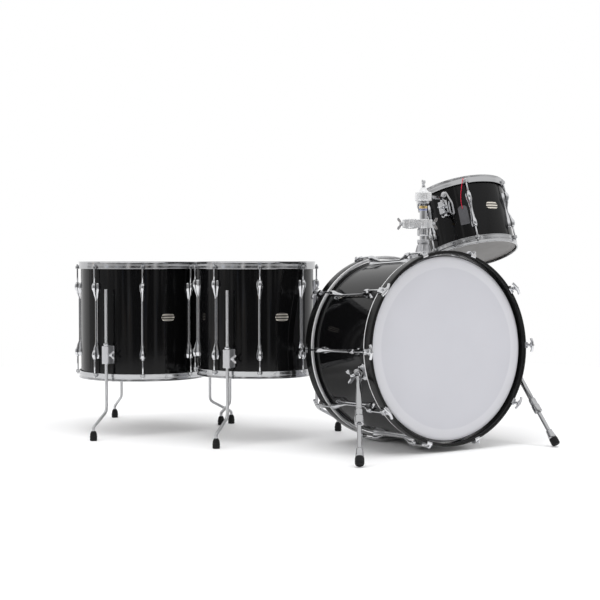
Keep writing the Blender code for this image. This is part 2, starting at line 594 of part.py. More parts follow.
def make_clamp(frame, bore):
    """Accessory clamp: a block round the post with a spare socket, and a wing bolt at each end."""
    middle = (CLAMP_BOTTOM + CLAMP_TOP) / 2
    reach, near = 0.070, 0.030
    outline = [(-reach, -0.011), (-reach + 0.008, -0.019), (near - 0.008, -0.019), (near, -0.011),
               (near, 0.011), (near - 0.008, 0.019), (-reach + 0.008, 0.019), (-reach, 0.011)]
    body = lofted([[Vector((x, y, z)) for x, y in outline] for z in (CLAMP_BOTTOM, CLAMP_TOP)])
    post_bore = plug(bore, -0.05, 0.05, POST_SIDES)
    spare = moved(post_bore, Matrix.Translation((-0.042, 0, middle)))
    ends = {"left": (Vector((-reach, 0, middle)), Vector((-1, 0, 0)), 0.010),
            "right": (Vector((near, 0, middle)), Vector((1, 0, 0)), near - POST_RADIUS - GAP)}
    holes = gathered([moved(bolt_hole(0.019), along(seat, way)) for seat, way, _ in ends.values()])
    piece("accessory_clamp", body, CHROME, frame,
          cut=[moved(post_bore, Matrix.Translation((0, 0, middle))), spare, holes])
    for end, (seat, way, shaft) in ends.items():
        add_wing_bolt(f"clamp_{end}_bolt", seat + way * GAP, way, shaft, 0.006, frame, 90, wings=0.042,
                      grip=0.012)


def make_housing(frame, to_tom):
    """Housing that grips the arm's ball, with a wing bolt on top, and a slot towards the tom."""
    low, high = POST_TOP + GAP, POST_TOP + GAP + HOUSING_HEIGHT
    lid, ball_at = high + HOUSING_LID, Vector((0, 0, (low + high) / 2))
    shape = turned([(0, lid), (0.009, lid), (0.018, high), (HOUSING_RADIUS, high - 0.003),
                    (HOUSING_RADIUS, low + 0.003), (HOUSING_RADIUS - 0.003, low), (0, low)], 20)
    socket = ball_solid(BALL_SOCKET_RADIUS)
    mouth = block((0, -MOUTH_WIDTH / 2, -MOUTH_HEIGHT / 2), (0.04, MOUTH_WIDTH / 2, MOUTH_HEIGHT / 2))
    mouth = moved(mouth, spun(math.degrees(to_tom)))
    place = Matrix.Translation(ball_at)
    depth = lid - ball_at.z - BALL_RADIUS
    hole = moved(bolt_hole(depth), Matrix.Translation((0, 0, lid)))
    piece("tilter_housing", shape, CHROME, frame, cut=[moved(socket, place), moved(mouth, place), hole])
    add_wing_bolt("tilter_bolt", Vector((0, 0, lid + GAP)), UP, depth - 0.0012, 0.010, frame, 90, wings=0.034)
    return ball_at


# Rack tom.

def rack_tom_matrix():
    """Frame at the middle of the rack tom, leaning towards the player."""
    lean = Vector((-math.sin(BASS_YAW), math.cos(BASS_YAW), 0))
    axis = UP * math.cos(RACK_TOM_TILT) + lean * math.sin(RACK_TOM_TILT)
    across = Vector((0, 1, 0)).cross(axis).normalized()
    turn = Matrix((across, axis.cross(across), axis)).transposed()
    return Matrix.Translation(RACK_TOM_AT) @ turn.to_4x4()


def make_rack_tom(frame):
    """Rack tom, with lugs on both sides of its bracket."""
    first_lug = 1.4 - 90
    return make_tom("rack_tom", frame, RACK_TOM_DIAMETER, RACK_TOM_DEPTH, RACK_TOM_LUGS, RACK_TOM_LUG_LENGTH,
                    RACK_TOM_SIDES, first_lug, HEAD_DOME)


def make_arm(frame, radius, ball):
    """Ball, bent six-sided arm, and the bracket that holds it off the tom's shell."""
    out = polar(1, ARM_ANGLE - 90)
    ball_local = frame.matrix_world.inverted() @ ball
    upright = out * (radius + ARM_OFF_SHELL)
    corners = [ball_local, upright + UP * ARM_LEVEL, upright - UP * ARM_BELOW]
    rod = swept(rounded_path(corners, 0.012, 3), ARM_RADIUS, 6)
    sphere = moved(ball_solid(BALL_RADIUS), Matrix.Translation(ball_local))
    piece("tom_arm", sphere, CHROME, frame, ball_local, add=[rod])
    turn, wide, nose_wide = spun(ARM_ANGLE - 90), BRACKET_WIDTH / 2, BRACKET_NOSE_WIDTH / 2
    front, rod_at = radius + BRACKET_NOSE_OUT, radius + ARM_OFF_SHELL
    back = block((radius + GAP, -wide, BRACKET_LOW - 0.003), (radius + 0.007, wide, BRACKET_TOP))
    nose = block((radius + 0.004, -nose_wide, BRACKET_LOW), (front, nose_wide, BRACKET_NOSE_TOP))
    slot = block((rod_at - BRACKET_SLOT, -BRACKET_SLOT, BRACKET_LOW - 0.01),
                 (rod_at + BRACKET_SLOT, BRACKET_SLOT, BRACKET_NOSE_TOP + 0.01))
    seat = Vector((front, 0, (BRACKET_LOW + BRACKET_NOSE_TOP) / 2))
    hole = moved(bolt_hole(0.009), along(seat, Vector((1, 0, 0))))
    piece("rack_tom_bracket", moved(back, turn), CHROME, frame, add=[moved(nose, turn)],
          cut=[moved(slot, turn), moved(hole, turn)])
    shaft = front - rod_at - ARM_RADIUS - 2 * GAP
    add_wing_bolt("rack_tom_bracket_bolt", turn @ (seat + Vector((GAP, 0, 0))), out, shaft, 0.006, frame,
                  grip=0.012)


def make_tag(frame, radius):
    """Blank hang tag that lies on the shell, on a red string from the front rod's head."""
    route = [polar(radius + off, angle - 90, z) for off, angle, z in STRING_ROUTE]
    curve = bpy.data.curves.new("tag_string", "CURVE")
    curve.dimensions = "3D"
    curve.bevel_depth, curve.bevel_resolution, curve.use_fill_caps = STRING_RADIUS, 2, True
    spline = curve.splines.new("POLY")
    spline.points.add(len(route) - 1)
    for spot, point in zip(spline.points, route):
        spot.co = (*(point - route[0]), 1)
    curve.materials.append(material(RED_STRING))
    string = bpy.data.objects.new("tag_string", curve)
    bpy.context.collection.objects.link(string)
    string.parent = frame
    string.matrix_local = Matrix.Translation(route[0])
    card = block((radius + TAG_OFF_SHELL, -TAG_WIDTH / 2, TAG_TOP - TAG_LENGTH),
                 (radius + TAG_OFF_SHELL + TAG_THICK, TAG_WIDTH / 2, TAG_TOP))
    piece("hang_tag", moved(card, spun(STRING_ROUTE[-1][1] - 90)), TAG_CARD, frame, route[-1])


def main():
    for old in list(bpy.data.objects):
        bpy.data.objects.remove(old, do_unlink=True)
    make_floor_tom("floor_tom_1", FLOOR_TOM_1_AT, FLOOR_TOM_1_DIAMETER, FLOOR_TOM_1_DEPTH, 7.0)
    make_floor_tom("floor_tom_2", FLOOR_TOM_2_AT, FLOOR_TOM_2_DIAMETER, FLOOR_TOM_2_DEPTH, 5.5)
    bass = drum_frame("bass_frame", bass_matrix())
    bpy.context.view_layer.update()
    bass_radius = make_bass_drum(bass)
    make_spur("left", bass, bass_radius, LEFT_SPUR_TIP)
    make_spur("right", bass, bass_radius, RIGHT_SPUR_TIP)
    foot = post_foot(bass, bass_radius)
    holder = drum_frame("holder_frame", Matrix.Translation((foot.x, foot.y, 0)))
    tom = drum_frame("rack_tom_frame", rack_tom_matrix())
    bpy.context.view_layer.update()
    bore = make_holder(holder, BASS_YAW, foot.z)
    make_clamp(holder, bore)
    tom_radius = make_rack_tom(tom)
    bracket = tom.matrix_world @ polar(tom_radius, ARM_ANGLE - 90, ARM_LEVEL)
    to_tom = math.atan2(bracket.y - foot.y, bracket.x - foot.x)
    ball = holder.matrix_world @ make_housing(holder, to_tom)
    make_arm(tom, tom_radius, ball)
    make_tag(tom, tom_radius)


main()
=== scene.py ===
# %% [markdown]
# This script dresses a drum kit: a bass drum that carries a rack tom on a post, and two floor toms on legs.
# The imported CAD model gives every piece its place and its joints. Here each piece gets the shape and the
# finish that the eye reads: rounded edges, cast lugs, chromed screws, black lacquer and white drumheads.

# %% Load the frame
import math

import bmesh
import bpy
from mathutils import Matrix, Vector


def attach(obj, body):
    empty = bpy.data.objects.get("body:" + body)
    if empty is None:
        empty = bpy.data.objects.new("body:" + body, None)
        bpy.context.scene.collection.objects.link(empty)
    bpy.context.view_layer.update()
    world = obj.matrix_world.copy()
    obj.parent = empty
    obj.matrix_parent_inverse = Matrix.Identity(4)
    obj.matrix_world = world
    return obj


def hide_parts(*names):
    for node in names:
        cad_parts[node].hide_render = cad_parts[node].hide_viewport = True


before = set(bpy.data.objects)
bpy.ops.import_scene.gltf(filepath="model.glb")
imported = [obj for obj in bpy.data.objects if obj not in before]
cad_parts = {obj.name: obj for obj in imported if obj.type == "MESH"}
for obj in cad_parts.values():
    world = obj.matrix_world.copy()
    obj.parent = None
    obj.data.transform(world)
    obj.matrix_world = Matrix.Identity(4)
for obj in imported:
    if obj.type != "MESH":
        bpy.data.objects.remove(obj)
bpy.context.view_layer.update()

scene = bpy.context.scene

# %% [markdown]
# The camera comes first, because the shapes follow a photograph. Its focal length and place were found
# by fitting one camera to the edges, rods and feet of all four drums. It looks along +Y and a little
# downwards, from just under the height of the floor toms' rims.

# %% Camera
PHOTO_PIXELS, FOCAL_PIXELS, SENSOR = 600, 1175, 36.0
CAMERA_AT, CAMERA_DOWN = Vector((-0.0176, -4.0731, 0.603)), 1.678

lens = bpy.data.cameras.new("photo_camera")
lens.sensor_width = SENSOR
lens.lens = SENSOR * FOCAL_PIXELS / PHOTO_PIXELS
camera = bpy.data.objects.new("photo_camera", lens)
camera.location = CAMERA_AT
camera.rotation_euler = (math.radians(90 - CAMERA_DOWN), 0, 0)
scene.collection.objects.link(camera)
scene.camera = camera
print("lens", round(lens.lens, 1), "mm")

# %% [markdown]
# A material is built from nodes, but sums read better as Python. The class Number holds a node's output and
# gives it the signs + - * and /, so that an expression adds its own Math nodes.

# %% Sums on sockets
class Number:
    """An output socket that Python can do sums with: each sum adds a Math node."""

    def __init__(self, paint, socket):
        self.paint, self.socket = paint, socket

    def math(self, operation, *others):
        return self.paint.node("Math", {"operation": operation}, dict(enumerate((self, *others))))

    def __add__(self, other):
        return self.math("ADD", other)

    def __sub__(self, other):
        return self.math("SUBTRACT", other)

    def __mul__(self, other):
        return self.math("MULTIPLY", other)

    def __truediv__(self, other):
        return self.math("DIVIDE", other)

    __radd__, __rmul__ = __add__, __mul__

    def between(self, low, high):
        """0 at low, 1 at high, and a smooth change between them."""
        return self.paint.node("MapRange", {"interpolation_type": "SMOOTHSTEP"}, {0: self, 1: low, 2: high})


# %% [markdown]
# The class Paint owns one material. A single method makes every kind of node other than the sums. All of
# them read the piece's own coordinates, so a finish stays on the piece when it moves.

# %% Paint
class Paint:
    """One Principled material, and the method that adds nodes to it."""

    def __init__(self, slot, name, colour, metallic=0.0, **fixed):
        self.slot = slot
        self.material = bpy.data.materials.new(name)
        self.material.use_nodes = True
        self.tree = self.material.node_tree
        self.shader = self.tree.nodes["Principled BSDF"]
        for key, value in {"base_color": (*colour, 1), "metallic": metallic, **fixed}.items():
            self.set(key.replace("_", " ").title().replace("Ior", "IOR"), value)

    def feed(self, socket, value):
        """Links a Number to the socket, or sets the socket's value."""
        if isinstance(value, Number):
            self.tree.links.new(value.socket, socket)
        else:
            socket.default_value = value

    def set(self, name, value):
        """Feeds one of the shader's own sockets."""
        self.feed(self.shader.inputs[name], value)

    def node(self, kind, settings=(), inputs=(), output=0):
        """Adds a node: its settings are set first, then its sockets get values or links."""
        made = self.tree.nodes.new("ShaderNode" + kind)
        for key, value in dict(settings).items():
            setattr(made, key, value)
        for key, value in dict(inputs).items():
            self.feed(made.inputs[key], value)
        return Number(self, made.outputs[output])

    def place(self):
        return self.node("TexCoord", output="Object")

    def part(self, axis):
        """The x, y or z of a point on the piece, in metres."""
        return self.node("SeparateXYZ", inputs={0: self.place()}, output="XYZ".index(axis))

    def along(self, origin, direction):
        """How far a point lies from the origin along a direction, in metres."""
        arm = self.node("VectorMath", {"operation": "SUBTRACT"}, {0: self.place(), 1: tuple(origin)})
        return self.node("VectorMath", {"operation": "DOT_PRODUCT"}, {0: arm, 1: tuple(direction)}, output=1)

    def noise(self, scale, detail=3.0, stretch=(1, 1, 1)):
        spot = self.node("Mapping", inputs={"Vector": self.place(), "Scale": stretch})
        return self.node("TexNoise", inputs={"Vector": spot, "Scale": scale, "Detail": detail})

    def mix(self, factor, first, second):
        """Blend of two colours; a colour may be three numbers or a link."""
        ends = [end if isinstance(end, Number) else (*end, 1) for end in (first, second)]
        return self.node("Mix", {"data_type": "RGBA"}, {0: factor, 6: ends[0], 7: ends[1]}, output=2)

    def colour(self, value):
        self.set("Base Color", value)

    def rough(self, value):
        self.set("Roughness", value)

    def bump(self, height, depth):
        """Raises the surface by up to depth metres where height is 1."""
        self.set("Normal", self.node("Bump", inputs={"Height": height, "Distance": depth}))


# %% [markdown]
# Chrome is a mirror with a cool tint. Its polish is never even, so a slow noise moves the roughness a
# little, and on the brightest pieces a finer one dents the surface by a few hundredths of a millimetre. The
# toms' hoops and the spurs look darker in the photograph, so they have a steel of their own. The legs are
# satin, and the tom holder goes from rough casting at its base to satin chrome at its clamp and housing.

# %% Metals
def metal(name, colour, low, spread, scale, metallic=1.0, stretch=(1, 1, 1)):
    """Metal whose roughness is moved up from low by a noise."""
    made = Paint("chrome", name, colour, metallic)
    made.rough(low + spread * made.noise(scale, stretch=stretch))
    return made


CHROME = metal("polished_chrome", (0.62, 0.625, 0.64), 0.05, 0.09, 30.0)
CHROME.bump(CHROME.noise(160.0), 0.00003)

HOOP_STEEL = metal("hoop_steel", (0.46, 0.463, 0.472), 0.06, 0.10, 14.0, stretch=(1, 1, 9))
HOOP_STEEL.bump(HOOP_STEEL.noise(40.0, stretch=(1, 1, 30)), 0.00005)

CAST_METAL = metal("cast_metal", (0.58, 0.583, 0.60), 0.32, 0.2, 90.0, metallic=0.8)
CAST_METAL.bump(CAST_METAL.noise(260.0), 0.0001)

SATIN_STEEL = metal("satin_steel", (0.60, 0.605, 0.615), 0.30, 0.14, 60.0)
BRIGHT_SATIN = metal("bright_satin", (0.80, 0.80, 0.81), 0.34, 0.14, 40.0, metallic=0.45)
SATIN_CHROME = metal("satin_chrome", (0.76, 0.765, 0.775), 0.20, 0.14, 50.0, metallic=0.62)
BRASS = metal("brass_band", (0.80, 0.60, 0.27), 0.16, 0.12, 90.0)
BLUED = metal("blued_band", (0.34, 0.38, 0.62), 0.2, 0.12, 90.0)
DARK_STEEL = metal("dark_screws", (0.16, 0.16, 0.17), 0.22, 0.15, 120.0)
print("metals", len(bpy.data.materials))

# %% [markdown]
# The shells are birch or maple under many coats of black lacquer. Almost nothing comes back from the black
# itself, so what shows is the gloss of the top coat. It gets a faint orange peel, and fine polishing haze
# that moves the roughness. The wood hoops of the bass drum are sprayed the same way, over wood whose grain
# still shows as long shallow ripples.

# %% Lacquer
LACQUER = Paint("black_lacquer", "black_lacquer", (0.003, 0.003, 0.0033), specular_ior_level=0.2)
LACQUER.rough(0.04 + 0.08 * LACQUER.noise(9.0))
LACQUER.bump(LACQUER.noise(220.0, detail=1.0), 0.00002)

HOOP_BLACK = Paint("black_hoop", "black_wood_hoop", (0.005, 0.005, 0.005), specular_ior_level=0.2)
HOOP_BLACK.rough(0.14 + 0.14 * HOOP_BLACK.noise(24.0))
HOOP_BLACK.bump(HOOP_BLACK.noise(30.0, stretch=(1, 1, 12)), 0.00008)
print("the lacquer has", len(LACQUER.tree.nodes), "nodes")

# %% [markdown]
# A drumhead is a polyester film. The batter side is coated white, with a fine tooth, and the bass drum's
# front head carries a damping ring just inside its edge that looks a little brighter. The undersides are
# clear film, which looks brownish grey over a dark drum. The ring is drawn from the distance to the drum's
# axis.

# %% Films
RING_FROM, RING_TO, RING_WANDER = 0.262, 0.268, 0.003


def coated(name, ring_frame=None):
    """White coated film; with a drum's frame, it has a damping ring round that drum's axis."""
    coat = Paint("coated_film", name, (0.55, 0.55, 0.58), coat_weight=0.15, coat_roughness=0.3)
    white = coat.mix(coat.noise(5.0, detail=2.0), (0.52, 0.522, 0.56), (0.575, 0.577, 0.615))
    if ring_frame:
        x, y = (coat.along(ring_frame.translation, ring_frame.col[k].xyz) for k in range(2))
        out = (x * x + y * y).math("SQRT") + RING_WANDER * coat.noise(14.0)
        white = coat.mix(out.between(RING_FROM, RING_TO), white, (0.612, 0.613, 0.645))
    coat.colour(white)
    coat.rough(0.42 + 0.16 * coat.noise(50.0))
    coat.bump(coat.noise(700.0, detail=1.0), 0.00004)
    return coat


COATED = coated("white_coated_film")

CLEAR = Paint("smoky_film", "clear_film", (0.13, 0.12, 0.112), specular_ior_level=0.25)
CLEAR.colour(CLEAR.mix(CLEAR.noise(6.0), (0.105, 0.098, 0.092), (0.155, 0.146, 0.138)))
CLEAR.rough(0.25 + 0.15 * CLEAR.noise(20.0))
print("the coated film has", len(COATED.tree.nodes), "nodes, and the clear film", len(CLEAR.tree.nodes))

# %% [markdown]
# The small finishes are rubber for the feet, a plate for the badges, card for the tag and red twine for its
# string. The badge is a plain oval with pale bands, made from the height on the shell. The twist of the
# twine is a sine along its length.

# %% Small finishes
RUBBER = Paint("rubber", "black_rubber", (0.006, 0.006, 0.0065), specular_ior_level=0.25)
RUBBER.rough(0.42 + 0.3 * RUBBER.noise(140.0))
RUBBER.bump(RUBBER.noise(500.0), 0.0001)

BADGE_PITCH, TWINE_TURNS = 0.0092, 4200.0


def badge_paint(name, centre, upward):
    """Plate with pale bands across it, counted from its centre."""
    plate_paint = Paint("chrome", f"{name}_plate", (0.66, 0.62, 0.54), 0.7)
    height = plate_paint.along(centre, upward)
    band = (height * (2 * math.pi / BADGE_PITCH)).math("COSINE").between(-0.2, 0.4)
    plate_paint.colour(plate_paint.mix(band, (0.10, 0.09, 0.085), (0.74, 0.70, 0.62)))
    plate_paint.rough(0.22 + 0.2 * plate_paint.noise(300.0))
    return plate_paint


CARD = Paint("tag_card", "grey_card", (0.07, 0.07, 0.078))
CARD.colour(CARD.mix(CARD.noise(60.0), (0.060, 0.060, 0.066), (0.085, 0.085, 0.093)))
CARD.rough(0.4 + 0.15 * CARD.noise(200.0))

TWINE = Paint("red_string", "red_twine", (0.72, 0.008, 0.05), roughness=0.75)
TWINE.bump(((TWINE.part("Z") + TWINE.part("X")) * TWINE_TURNS).math("SINE") * 0.5 + 0.5, 0.0003)
TWINE.colour(TWINE.mix(TWINE.noise(400.0), (0.62, 0.006, 0.04), (0.85, 0.016, 0.07)))
print("materials", len(bpy.data.materials))

# %% [markdown]
# Nearly every part of a drum is turned, lofted or swept, so a few helpers make all of the shapes. It all
# starts with outlines. An outline's corners are softened with small curves before it is turned or pulled
# up, because a real edge always catches a line of light.

# %% Outlines
GAP = 0.0003
UP = Vector((0, 0, 1))
UPRIGHT = Matrix.Identity(4)
ALL_ROUND = 2 * math.pi
FAR_OUT = Vector((10, 0))       # moves an outline clear of the axis
LONGEST_CUT = 0.45              # the share of an edge that one softened corner may take


def polar(radius, degrees, z=0.0):
    """Point at an angle from +X about the Z axis."""
    turn = math.radians(degrees)
    return Vector((radius * math.cos(turn), radius * math.sin(turn), z))


def circle(x, y, radius, count=36):
    return [(x + radius * math.cos(ALL_ROUND * k / count), y + radius * math.sin(ALL_ROUND * k / count))
            for k in range(count)]


def softened(corners, radius, steps=2):
    """Closed outline with its corners rounded; corners on the axis stay."""
    points = []
    for i, corner in enumerate(corners):
        here = Vector(corner)
        if corner[0] == 0:
            points.append(here)
            continue
        back, ahead = Vector(corners[i - 1]) - here, Vector(corners[(i + 1) % len(corners)]) - here
        first = here + back.normalized() * min(radius, LONGEST_CUT * back.length)
        last = here + ahead.normalized() * min(radius, LONGEST_CUT * ahead.length)
        for k in range(steps + 1):
            t = k / steps
            points.append(first * (1 - t) ** 2 + here * 2 * t * (1 - t) + last * t ** 2)
    return points


def wide_softened(corners, radius, steps=2):
    """Softens an outline whose points may lie on the axis."""
    moved_out = [Vector(corner) + FAR_OUT for corner in corners]
    return [point - FAR_OUT for point in softened(moved_out, radius, steps)]


print("a softened square has", len(wide_softened([(0, 0), (1, 0), (1, 1), (0, 1)], 0.1)), "points")

# %% [markdown]
# A solid is a list of points and a list of faces. Most metal parts were cut on a lathe, and a profile of
# radii and heights turned about Z makes them the same way. A Spin or Screw modifier would do it too, but
# plain lists can be moved, repeated and joined before Blender sees them.

# %% Turned solids
def measured(name, solid):
    """Prints a solid's size in millimetres and its number of faces."""
    points, faces = solid
    sides = [1000 * (max(p[k] for p in points) - min(p[k] for p in points)) for k in range(3)]
    print(name, " x ".join(f"{side:.1f}" for side in sides), "mm,", len(faces), "faces")


def turned(profile, sides):
    """Closed (radius, z) profile turned about Z."""
    rows, points, faces = [], [], []
    for radius, z in profile:
        if radius == 0:
            rows.append([len(points)] * sides)
            points.append(Vector((0, 0, z)))
            continue
        rows.append(list(range(len(points), len(points) + sides)))
        points += [polar(radius, 360 * i / sides, z) for i in range(sides)]
    for row, upper in enumerate(rows):
        lower = rows[(row + 1) % len(rows)]
        for i in range(sides):
            j = (i + 1) % sides
            face = list(dict.fromkeys((upper[i], upper[j], lower[j], lower[i])))
            if len(face) > 2:
                faces.append(face)
    return points, faces


def spindle(profile, edge, sides, steps=2):
    """Profile with softened corners, turned about Z."""
    return turned(softened(profile, edge, steps), sides)


def bush(low, high, outer, inner=0.0, edge=0.0012, sides=40, steps=2):
    """Turned ring between two levels, or a plain pin where no inner radius is given."""
    return spindle([(inner, high), (outer, high), (outer, low), (inner, low)], edge, sides, steps)


measured("sample bush", bush(0, 0.010, 0.012, 0.005))

# %% [markdown]
# Castings and plates aren't round. They are lofted: rings of points are joined in turn, as the ribs of a
# hull are. A plate is a loft of two rings. A plate with holes can't be lofted, so Blender's own fill makes
# its face.

# %% Lofted solids
def lofted(rings):
    """Rings of equal count joined in turn, with both ends closed."""
    count = len(rings[0])
    points = [point for ring in rings for point in ring]
    faces = [list(range(count)), list(range(len(points) - count, len(points)))]
    for start in range(0, len(points) - count, count):
        for i in range(count):
            j = (i + 1) % count
            faces.append([start + i, start + j, start + count + j, start + count + i])
    return points, faces


def plate(outline, low, high, along="z"):
    """Outline pulled up between two levels of one axis; the outline lies in the other two, in order."""
    order = {"x": lambda u, v, w: (w, u, v),
             "y": lambda u, v, w: (u, w, v),
             "z": lambda u, v, w: (u, v, w)}[along]
    return lofted([[Vector(order(u, v, w)) for u, v in outline] for w in (low, high)])


def block(low, high, radius=0.0, along="z"):
    """Box between two corners, with the edges that run along one axis rounded."""
    u, v, w = {"x": (1, 2, 0), "y": (0, 2, 1), "z": (0, 1, 2)}[along]
    outline = [(low[u], low[v]), (high[u], low[v]), (high[u], high[v]), (low[u], high[v])]
    if radius:
        outline = wide_softened(outline, radius, 4)
    return plate(outline, low[w], high[w], along)


def pierced(outline, openings, low, high):
    """Plate with real openings: Blender fills the outlines, and the fill is pulled up."""
    work = bmesh.new()
    edges = []
    for loop in (outline, *openings):
        corners = [work.verts.new((u, v, low)) for u, v in loop]
        edges += [work.edges.new((corners[k - 1], corners[k])) for k in range(len(corners))]
    bmesh.ops.triangle_fill(work, use_beauty=True, use_dissolve=False, edges=edges)
    raised = bmesh.ops.extrude_face_region(work, geom=list(work.faces))["geom"]
    raised = [item for item in raised if isinstance(item, bmesh.types.BMVert)]
    bmesh.ops.translate(work, verts=raised, vec=(0, 0, high - low))
    work.verts.index_update()
    points = [vertex.co.copy() for vertex in work.verts]
    faces = [[vertex.index for vertex in face.verts] for face in work.faces]
    work.free()
    return points, faces


measured("sample block", block((0, 0, 0), (0.020, 0.010, 0.005), 0.002))

# %% [markdown]
# Bent rods, such as a floor tom's leg, are swept: a circle travels along a path and stays square to it. The
# path's corners are true arcs, because a bending machine leaves a constant radius.

# %% Swept bars
def swept(path, radius, sides=16):
    """Round bar of one radius along a path of points."""
    rings = []
    side = (path[1] - path[0]).orthogonal().normalized()
    for i, point in enumerate(path):
        ahead = (path[min(i + 1, len(path) - 1)] - path[max(i - 1, 0)]).normalized()
        side = (side - ahead * side.dot(ahead)).normalized()
        across = ahead.cross(side)
        turns = [ALL_ROUND * k / sides for k in range(sides)]
        rings.append([point + radius * (side * math.cos(t) + across * math.sin(t)) for t in turns])
    return lofted(rings)


def rounded_path(corners, radius, steps=8):
    """Corners joined by straight runs, each inner corner rounded to the radius."""
    path = [corners[0]]
    for before, corner, after in zip(corners, corners[1:], corners[2:]):
        back, ahead = (before - corner).normalized(), (after - corner).normalized()
        half = back.angle(ahead) / 2
        centre = corner + (back + ahead).normalized() * radius / math.sin(half)
        first = (corner + back * radius / math.tan(half) - centre).normalized()
        last = (corner + ahead * radius / math.tan(half) - centre).normalized()
        path += [centre + radius * first.slerp(last, k / steps) for k in range(steps + 1)]
    return path + [corners[-1]]


elbow = rounded_path([Vector(), UP * 0.1, Vector((0.1, 0, 0.1))], 0.02)
measured("sample elbow", swept(elbow, 0.005))

# %% [markdown]
# A solid is drawn where it is easiest, on an axis or at the +X side of a drum, and a matrix then takes it
# to its place. The same lug turned about Z serves all round a shell.

# %% Moving solids
def moved(solid, matrix):
    points, faces = solid
    return [matrix @ point for point in points], faces


def shifted(solid, x=0, y=0, z=0):
    return moved(solid, Matrix.Translation((x, y, z)))


def gathered(solids):
    """Several solids in one list, still separate from each other."""
    points, faces = [], []
    for more_points, more_faces in solids:
        faces += [[len(points) + i for i in face] for face in more_faces]
        points += more_points
    return points, faces


def along(start, direction):
    """Frame at a point with +Z along a direction."""
    turn = direction.normalized().to_track_quat("Z", "Y")
    return Matrix.Translation(start) @ turn.to_matrix().to_4x4()


def spun(degrees):
    return Matrix.Rotation(math.radians(degrees), 4, "Z")


def round_about(solid, angles):
    """The solid repeated at several angles about Z."""
    return gathered([moved(solid, spun(angle)) for angle in angles])


def framed(origin, across, axis):
    """Frame at a point from its X and Z directions."""
    turn = Matrix((across, axis.cross(across), axis)).transposed()
    return Matrix.Translation(origin) @ turn.to_4x4()


measured("four sample bushes", round_about(shifted(bush(0, 0.010, 0.012, 0.005), 0.1), (0, 90, 180, 270)))

# %% [markdown]
# One function turns a solid into a piece. It points the faces outwards, shades them smooth except at hard
# corners, adds a fine bevel where one is asked for, and hands the piece to the body that moves it. A piece
# that takes the place of CAD nodes names them, so that the plain solid is hidden.

# %% Pieces
HARD_CORNER, BEVEL_CORNER = math.radians(38), math.radians(40)
CAST_BEVEL, BOLT_BEVEL = 0.0008, 0.0005
made_pieces = []


def piece(name, solid, paint, body, at=UPRIGHT, bevel=0.0, stands_for=()):
    points, faces = moved(solid, at)
    mesh = bpy.data.meshes.new(name)
    mesh.from_pydata([tuple(point) for point in points], [], faces)
    work = bmesh.new()
    work.from_mesh(mesh)
    bmesh.ops.recalc_face_normals(work, faces=work.faces)
    if work.calc_volume(signed=True) < 0:
        bmesh.ops.reverse_faces(work, faces=work.faces)
    work.to_mesh(mesh)
    work.free()
    mesh.materials.append(paint.material)
    mesh.shade_smooth()
    mesh.set_sharp_from_angle(angle=HARD_CORNER)
    made = bpy.data.objects.new(name, mesh)
    scene.collection.objects.link(made)
    if bevel:
        edge = made.modifiers.new("fine_bevel", "BEVEL")
        edge.width, edge.segments, edge.limit_method, edge.angle_limit = bevel, 2, "ANGLE", BEVEL_CORNER
    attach(made, body)
    if stands_for:
        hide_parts(*stands_for)
    made_pieces.append(name)
    return made


print("bevels", 1000 * CAST_BEVEL, "mm on castings and", 1000 * BOLT_BEVEL, "mm on bolts")

# %% [markdown]
# A wing bolt is cast: a short turned hub, and two blades that flare and lean outwards.

# %% Wing bolts
BOLT_RADIUS, HUB_RADIUS, WING_ROOT, WING_THICK = 0.0030, 0.0061, 0.0035, 0.0042


def wing_bolt(shaft, hub, wings=0.030, grip=0.016):
    """Wing bolt whose shaft lies below zero and whose hub and wings lie above."""
    waist, top, half = hub * 0.55, hub + 0.004, wings / 2
    stem = spindle([(0, top), (0.0040, top), (HUB_RADIUS, waist), (HUB_RADIUS, GAP), (BOLT_RADIUS, GAP),
                    (BOLT_RADIUS, -shaft), (0, -shaft)], 0.0008, 20)
    blade = [(WING_ROOT, hub + 0.22 * grip), (half * 0.50, hub + grip * 0.86),
             (half * 0.86, hub + grip * 0.99), (half, hub + 0.55 * grip), (half * 0.52, waist + 0.002),
             (WING_ROOT, 0.0025)]
    outline = wide_softened(blade + [(-x, z) for x, z in reversed(blade)], 0.0022)
    return gathered([stem, plate(outline, -WING_THICK / 2, WING_THICK / 2, "y")])


def add_wing_bolt(name, seat, direction, shaft, hub, body, at, stands_for, turn=0, **sizes):
    place = along(seat, direction) @ spun(turn)
    return piece(name, moved(wing_bolt(shaft, hub, **sizes), place), CHROME, body, at, bevel=BOLT_BEVEL,
                 stands_for=(stands_for,))


measured("wing bolt", wing_bolt(0.010, 0.008))

# %% [markdown]
# The long lugs are what makes this kit look the way it does. Each is one casting that runs the length of
# the shell: a swollen tulip at both ends, a slim bar between them, and flanks that are hollow, so that they
# mirror the black shell. It's lofted from many cross-sections whose height and widths come from the
# distance to the nearer end.

